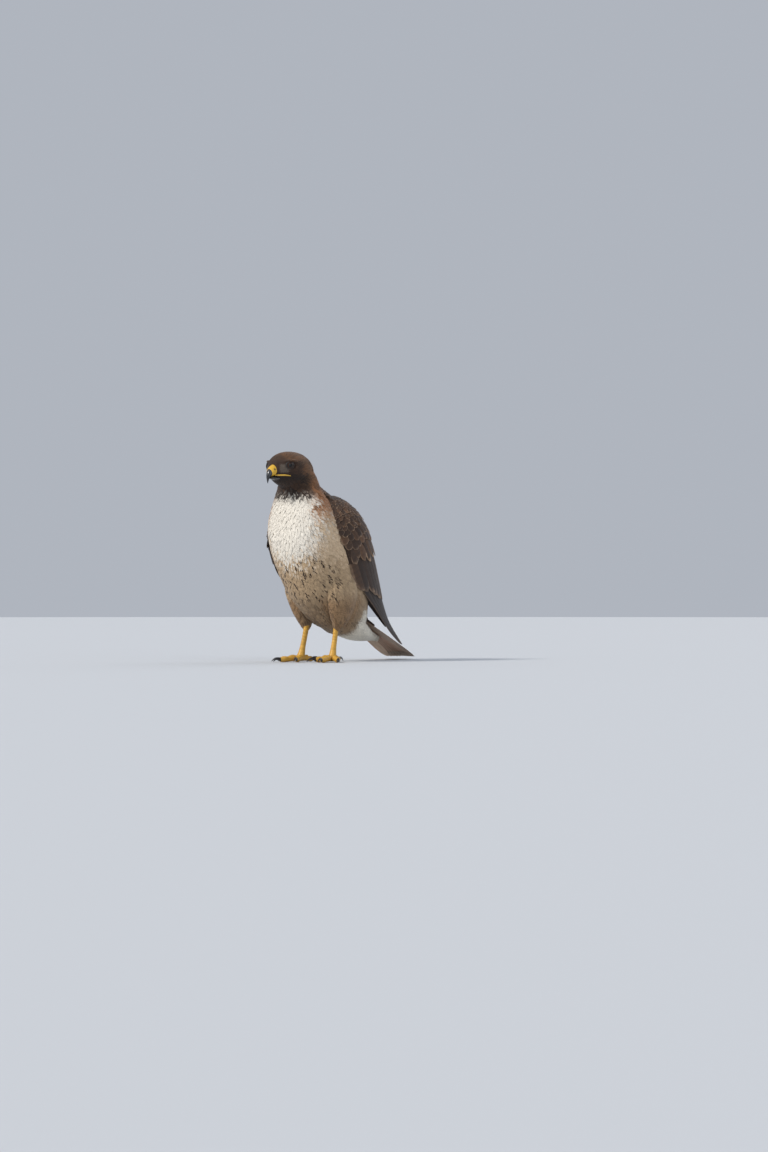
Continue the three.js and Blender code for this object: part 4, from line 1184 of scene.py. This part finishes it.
# The nostrils are painted dark: painted shade inside the shallow hollows.
dark = sum(nostril_spot(rings, side, 1.4, 1.1) for side in SIDES.values())
rings = rings - head_left * (sum(hollows) * NOSTRIL["deep"])[..., None]
cere_tone = mix(paint(222, 176, 56), paint(40, 30, 20), np.clip(dark * 1.2, 0, 1)[..., None])
cere = form("cere_skin", [rings], [cere_tone], SCALES, "yellow_skin")
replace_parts(cere, "cere")
for label, side in SIDES.items():
    a = np.linspace(39, 20.5, 24)
    path = on_head(a, side * (head_side(a, -13) - 1.1), -12.8 - 0.06 * np.maximum(0, 28 - a) ** 1.5)
    radii = np.repeat(np.interp(a, *np.array(GAPE_RADII).T)[:, None], 2, 1)
    form(f"gape_{label}", [tube_rings(path, radii, 12, UP)], [paint(208, 166, 62)], SCALES, "yellow_skin")
print("cere faces:", len(cere.data.polygons))


# %% Eyes and lids
EYE_ROWS, EYE_SIDES = 28, 36
LID_STATIONS, LID_SIDES = 39, 10
LID = {"ahead": 4.9, "radius": 6.5, "upper": 0.7, "lower": 0.92}
PUPIL_EDGE, IRIS_EDGE = (21, 25), (38, 46)


def ball_rings(middle, radius, axis):
    one = unit(np.cross(axis, UP))
    two = np.cross(axis, one)
    tilt = np.linspace(0.02, math.pi - 0.02, EYE_ROWS)
    a = circle(EYE_SIDES)[:, None]
    flat = one * np.cos(a) + two * np.sin(a)
    rings = middle + radius * (np.cos(tilt)[:, None, None] * axis + np.sin(tilt)[:, None, None] * flat)
    return rings, np.degrees(tilt)[:, None, None]


for label, side in SIDES.items():
    looks = unit(0.42 * head_ahead + side * 0.9 * head_left - 0.03 * UP)
    middle = on_head(EYE["ahead"], side * EYE["out"], EYE["up"])
    rings, tilt = ball_rings(middle, EYE["radius"], looks)
    tone = mix(paint(5, 4, 4), paint(48, 28, 15), ramp(tilt, *PUPIL_EDGE))
    tone = mix(tone, paint(12, 9, 7), ramp(tilt, *IRIS_EDGE))
    ball = form(f"eyeball_{label}", [rings], [tone], EYE_GLASS, "eye")
    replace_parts(ball, f"eye_{label}")
    a = np.linspace(0, 2 * math.pi, LID_STATIONS + 1)[:-1]
    one = unit(np.cross(looks, UP))
    two = np.cross(one, looks)
    tall = np.sin(a) * np.where(np.sin(a) > 0, LID["upper"], LID["lower"])
    flat = one * np.cos(a)[:, None] + two * tall[:, None]
    path = middle + looks * LID["ahead"] + LID["radius"] * flat
    radii = np.stack([1.25 + 1.2 * np.maximum(np.sin(a), 0), np.full(LID_STATIONS, 0.9)], 1)
    points = tube_rings(path, radii, LID_SIDES, looks).reshape(-1, 3)
    faces = ring_faces(1, LID_STATIONS, LID_SIDES, hoop=True)
    lid = new_piece(f"lid_{label}", points, faces, SCALES, "head_feathers")
    colour_points(lid.data, paint(38, 30, 25))
    print(label, "eye and lid faces:", len(ball.data.polygons), len(lid.data.polygons))

# %% [markdown]
# ## Legs and feet
# Bare legs and toes are covered by overlapping horny plates. Each plate is a short flared
# ring set a little off the toe's middle, so it shows as a step on top and vanishes below.
# The claws are smooth black horn that curls down to the ground.

# %% Feet
TARSUS = [
    [-14, 68, 4.6, 5.6], [-12, 56, 4.3, 5.2], [-8, 40, 4.2, 5], [-4, 26, 4.5, 5.2],
    [-1, 15, 6, 6.2], [1, 8, 7.4, 8], [2, 3.5, 6.5, 7.5],
]
TOES = [
    ("middle", 4, 45, 5.6, 19), ("inner", -30, 31, 5.6, 22),
    ("outer", 40, 35, 5.2, 16), ("hind", 184, 22, 5.4, 24),
]
FRONT = np.array([0.0, -1.0, 0.0])
LEG_TONE = paint(206, 158, 60)
LEG_SCUTES = 13


def foot_place(side):
    spin = (6 if side > 0 else 10) * side
    ahead = turned(FRONT, spin)
    out = np.cross(UP, ahead) * side
    start = 0 if side > 0 else RIGHT_FOOT_AHEAD

    def spot(a, o, u):
        a, o, u = (np.asarray(x, float)[..., None] for x in np.broadcast_arrays(a, o, u))
        return at(side * 30, start, 0) + ahead * a + out * o + UP * u

    return spot


def toe_line(side, toe, t):
    _, spread, length, radius = toe[:4]
    angle = math.radians(spread)
    reach = 3 + t * length
    r = mix(radius, radius * 0.78, t) + 0.45 * np.cos(t * math.pi * 5)
    high = r * 0.93 + 2.2 * np.sin(math.pi * t) * (1 - t) + (1 - t) ** 3 * 1.5
    return foot_place(side)(math.cos(angle) * reach, math.sin(angle) * reach, high), r


def grounded(rings):
    rings = np.array(rings)
    rings[..., 2] = np.maximum(rings[..., 2], 0.02)
    return rings


def leg_scutes(spot, rolls):
    shells, tones = [], []
    scale = np.array([[0.86, 0.88], [0.93, 0.96], [0.98, 1.0], [0.8, 0.84]])
    for k in range(LEG_SCUTES):
        a, u, across, deep = along(TARSUS, 0.12 + 0.66 * k / (LEG_SCUTES - 1))
        path = spot([a + 0.6, a + 0.9, a + 1.15, a + 0.9], 0, [u + 2.4, u + 0.2, u - 1.5, u - 1.9])
        shells.append(tube_rings(path, scale * [across, deep], 20, FRONT))
        tones.append(LEG_TONE * rolls.uniform(0.88, 1.1))
    return shells, tones


def toe_with_scutes(side, toe, rolls):
    t = np.linspace(0, 1, 30)
    line, r = toe_line(side, toe, t)
    r = (r - 0.3) * np.interp(t, [0, 0.9, 1], [1, 1, 0.7])
    shells, tones = [grounded(tube_rings(line, np.stack([r, r], 1), 18, UP))], [LEG_TONE * 0.9]
    plates = round(toe[2] / 3.4)
    scale = np.array([[0.82], [0.9], [0.93], [0.78]])
    for k in range(plates):
        t = mix(0.18, 0.94, k / (plates - 1)) + np.array([-1.0, 0.2, 0.85, 1.05]) * 1.9 / toe[2]
        line, r = toe_line(side, toe, t)
        line = line + UP * np.array([[0.35], [0.65], [0.8], [0.5]])
        shells.append(grounded(tube_rings(line, scale * np.stack([r, r], 1), 16, UP)))
        tones.append(LEG_TONE * rolls.uniform(0.86, 1.12))
    return shells, tones


def claw_rings(side, toe):
    (end, before), _ = toe_line(side, toe, np.array([0.97, 0.9]))
    ahead = unit((end - before) * [1, 1, 0])
    rise, fall = math.radians(26), math.radians(-62)
    curl = toe[4] / (rise - fall)
    t = np.linspace(0, 1, 18)
    angle = mix(rise, fall, t)[:, None]
    path = end + ahead * (curl * (math.sin(rise) - np.sin(angle)))
    path = path + UP * (curl * (np.cos(angle) - math.cos(rise)) + 0.6)
    path = path + UP * (np.maximum(0, 1.2 - path[-1, 2]) * t)[:, None]
    radii = np.stack([mix(2.6, 0.35, t**1.2), mix(3.4, 0.4, t)], 1)
    return grounded(tube_rings(path, radii, 14, UP))


for label, side in SIDES.items():
    rolls = np.random.default_rng(60 + side)
    spot = foot_place(side)
    rows = along(TARSUS, np.linspace(0, 1, 40))
    shells = [tube_rings(spot(rows[:, 0], 0, rows[:, 1]), rows[:, 2:] - 0.35, 20, FRONT)]
    tones = [LEG_TONE * 0.85]
    covered = [leg_scutes(spot, rolls)] + [toe_with_scutes(side, toe, rolls) for toe in TOES]
    for more_shells, more_tones in covered:
        shells += more_shells
        tones += more_tones
    foot = form(f"foot_{label}", shells, tones, SCALES, "yellow_skin", 50)
    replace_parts(foot, f"tarsus_{label}", *(f"toe_{toe[0]}_{label}" for toe in TOES))
    claws = [claw_rings(side, toe) for toe in TOES]
    nails = form(f"claws_{label}", claws, [paint(28, 26, 27)] * len(TOES), HORN, "horn")
    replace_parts(nails, *(f"claw_{toe[0]}_{label}" for toe in TOES))
    print(label, "foot shells:", len(shells), "claws:", len(claws))

# %% [markdown]
# ## Floor, light and camera
# A pale floor runs on into a pale surround. The sun of the picture comes from high on the
# viewer's left, so a large soft lamp stands there with two weaker ones to open the shadows.
# The camera stands well back, level with the legs, and sees the bird as small as it is shown.

# %% Floor and surround
FLOOR_RADIUS = 13
floor_mesh = bpy.data.meshes.new("floor")
ring = [(FLOOR_RADIUS * math.cos(a), FLOOR_RADIUS * math.sin(a), 0.0) for a in circle(64)]
floor_mesh.from_pydata(ring, [], [list(range(len(ring)))])
floor = bpy.data.objects.new("floor", floor_mesh)
bpy.context.scene.collection.objects.link(floor)
material, _, shader = start_material("pale_floor")
shader["Base Color"].default_value = (0.56, 0.58, 0.61, 1)
shader["Roughness"].default_value = 0.85
floor_mesh.materials.append(material)
world = bpy.data.worlds.new("pale_surround")
bpy.context.scene.world = world
world.use_nodes = True
surround = world.node_tree.nodes["Background"].inputs
surround["Color"].default_value = (0.72, 0.77, 0.86, 1)
surround["Strength"].default_value = 0.6
print("floor corners:", len(floor_mesh.vertices))


# %% Lamps
def lamp(name, place, spread, power, colour):
    light = bpy.data.lights.new(name, "SUN")
    light.angle = math.radians(spread)
    light.energy = power
    light.color = colour
    piece = bpy.data.objects.new(name, light)
    piece.rotation_euler = (-Vector(place)).to_track_quat("-Z", "Y").to_euler()
    bpy.context.scene.collection.objects.link(piece)


lamp("sun_side", (-0.6, -1.5, 1.15), 9, 2.6, (1.0, 0.96, 0.9))
lamp("fill", (2.6, -1.6, 1.2), 50, 0.5, (0.92, 0.96, 1.0))
lamp("behind", (0.8, 2.4, 1.8), 50, 0.6, (0.95, 0.97, 1.0))
print("lamps:", len(bpy.data.lights))

# %% Camera
AZIMUTH = math.radians(32)
PIXEL = 0.0017
PICTURE = (768, 1152)
FEET_IN_PICTURE = (318, 662)
DISTANCE, EYE_LEVEL = 4.0, 0.1
right = Vector((math.cos(AZIMUTH), math.sin(AZIMUTH), 0))
back = Vector((math.sin(AZIMUTH), -math.cos(AZIMUTH), 0))
feet = Vector((0, -FEET_AHEAD_OF_MIDDLE / MM_TO_A_METRE, 0))
beside, above = PICTURE[0] / 2 - FEET_IN_PICTURE[0], FEET_IN_PICTURE[1] - PICTURE[1] / 2
aim = feet + right * beside * PIXEL + Vector(UP) * above * PIXEL
eye_point = aim + back * DISTANCE
eye_point.z = EYE_LEVEL
lens = bpy.data.cameras.new("camera")
lens.sensor_fit = "VERTICAL"
lens.sensor_height = 36
lens.lens = lens.sensor_height * DISTANCE / (PICTURE[1] * PIXEL)
camera = bpy.data.objects.new("camera", lens)
camera.location = eye_point
camera.rotation_euler = (aim - eye_point).to_track_quat("-Z", "Y").to_euler()
bpy.context.scene.collection.objects.link(camera)
bpy.context.scene.camera = camera
bpy.context.scene.view_settings.view_transform = "Standard"
print("lens:", round(lens.lens, 1))
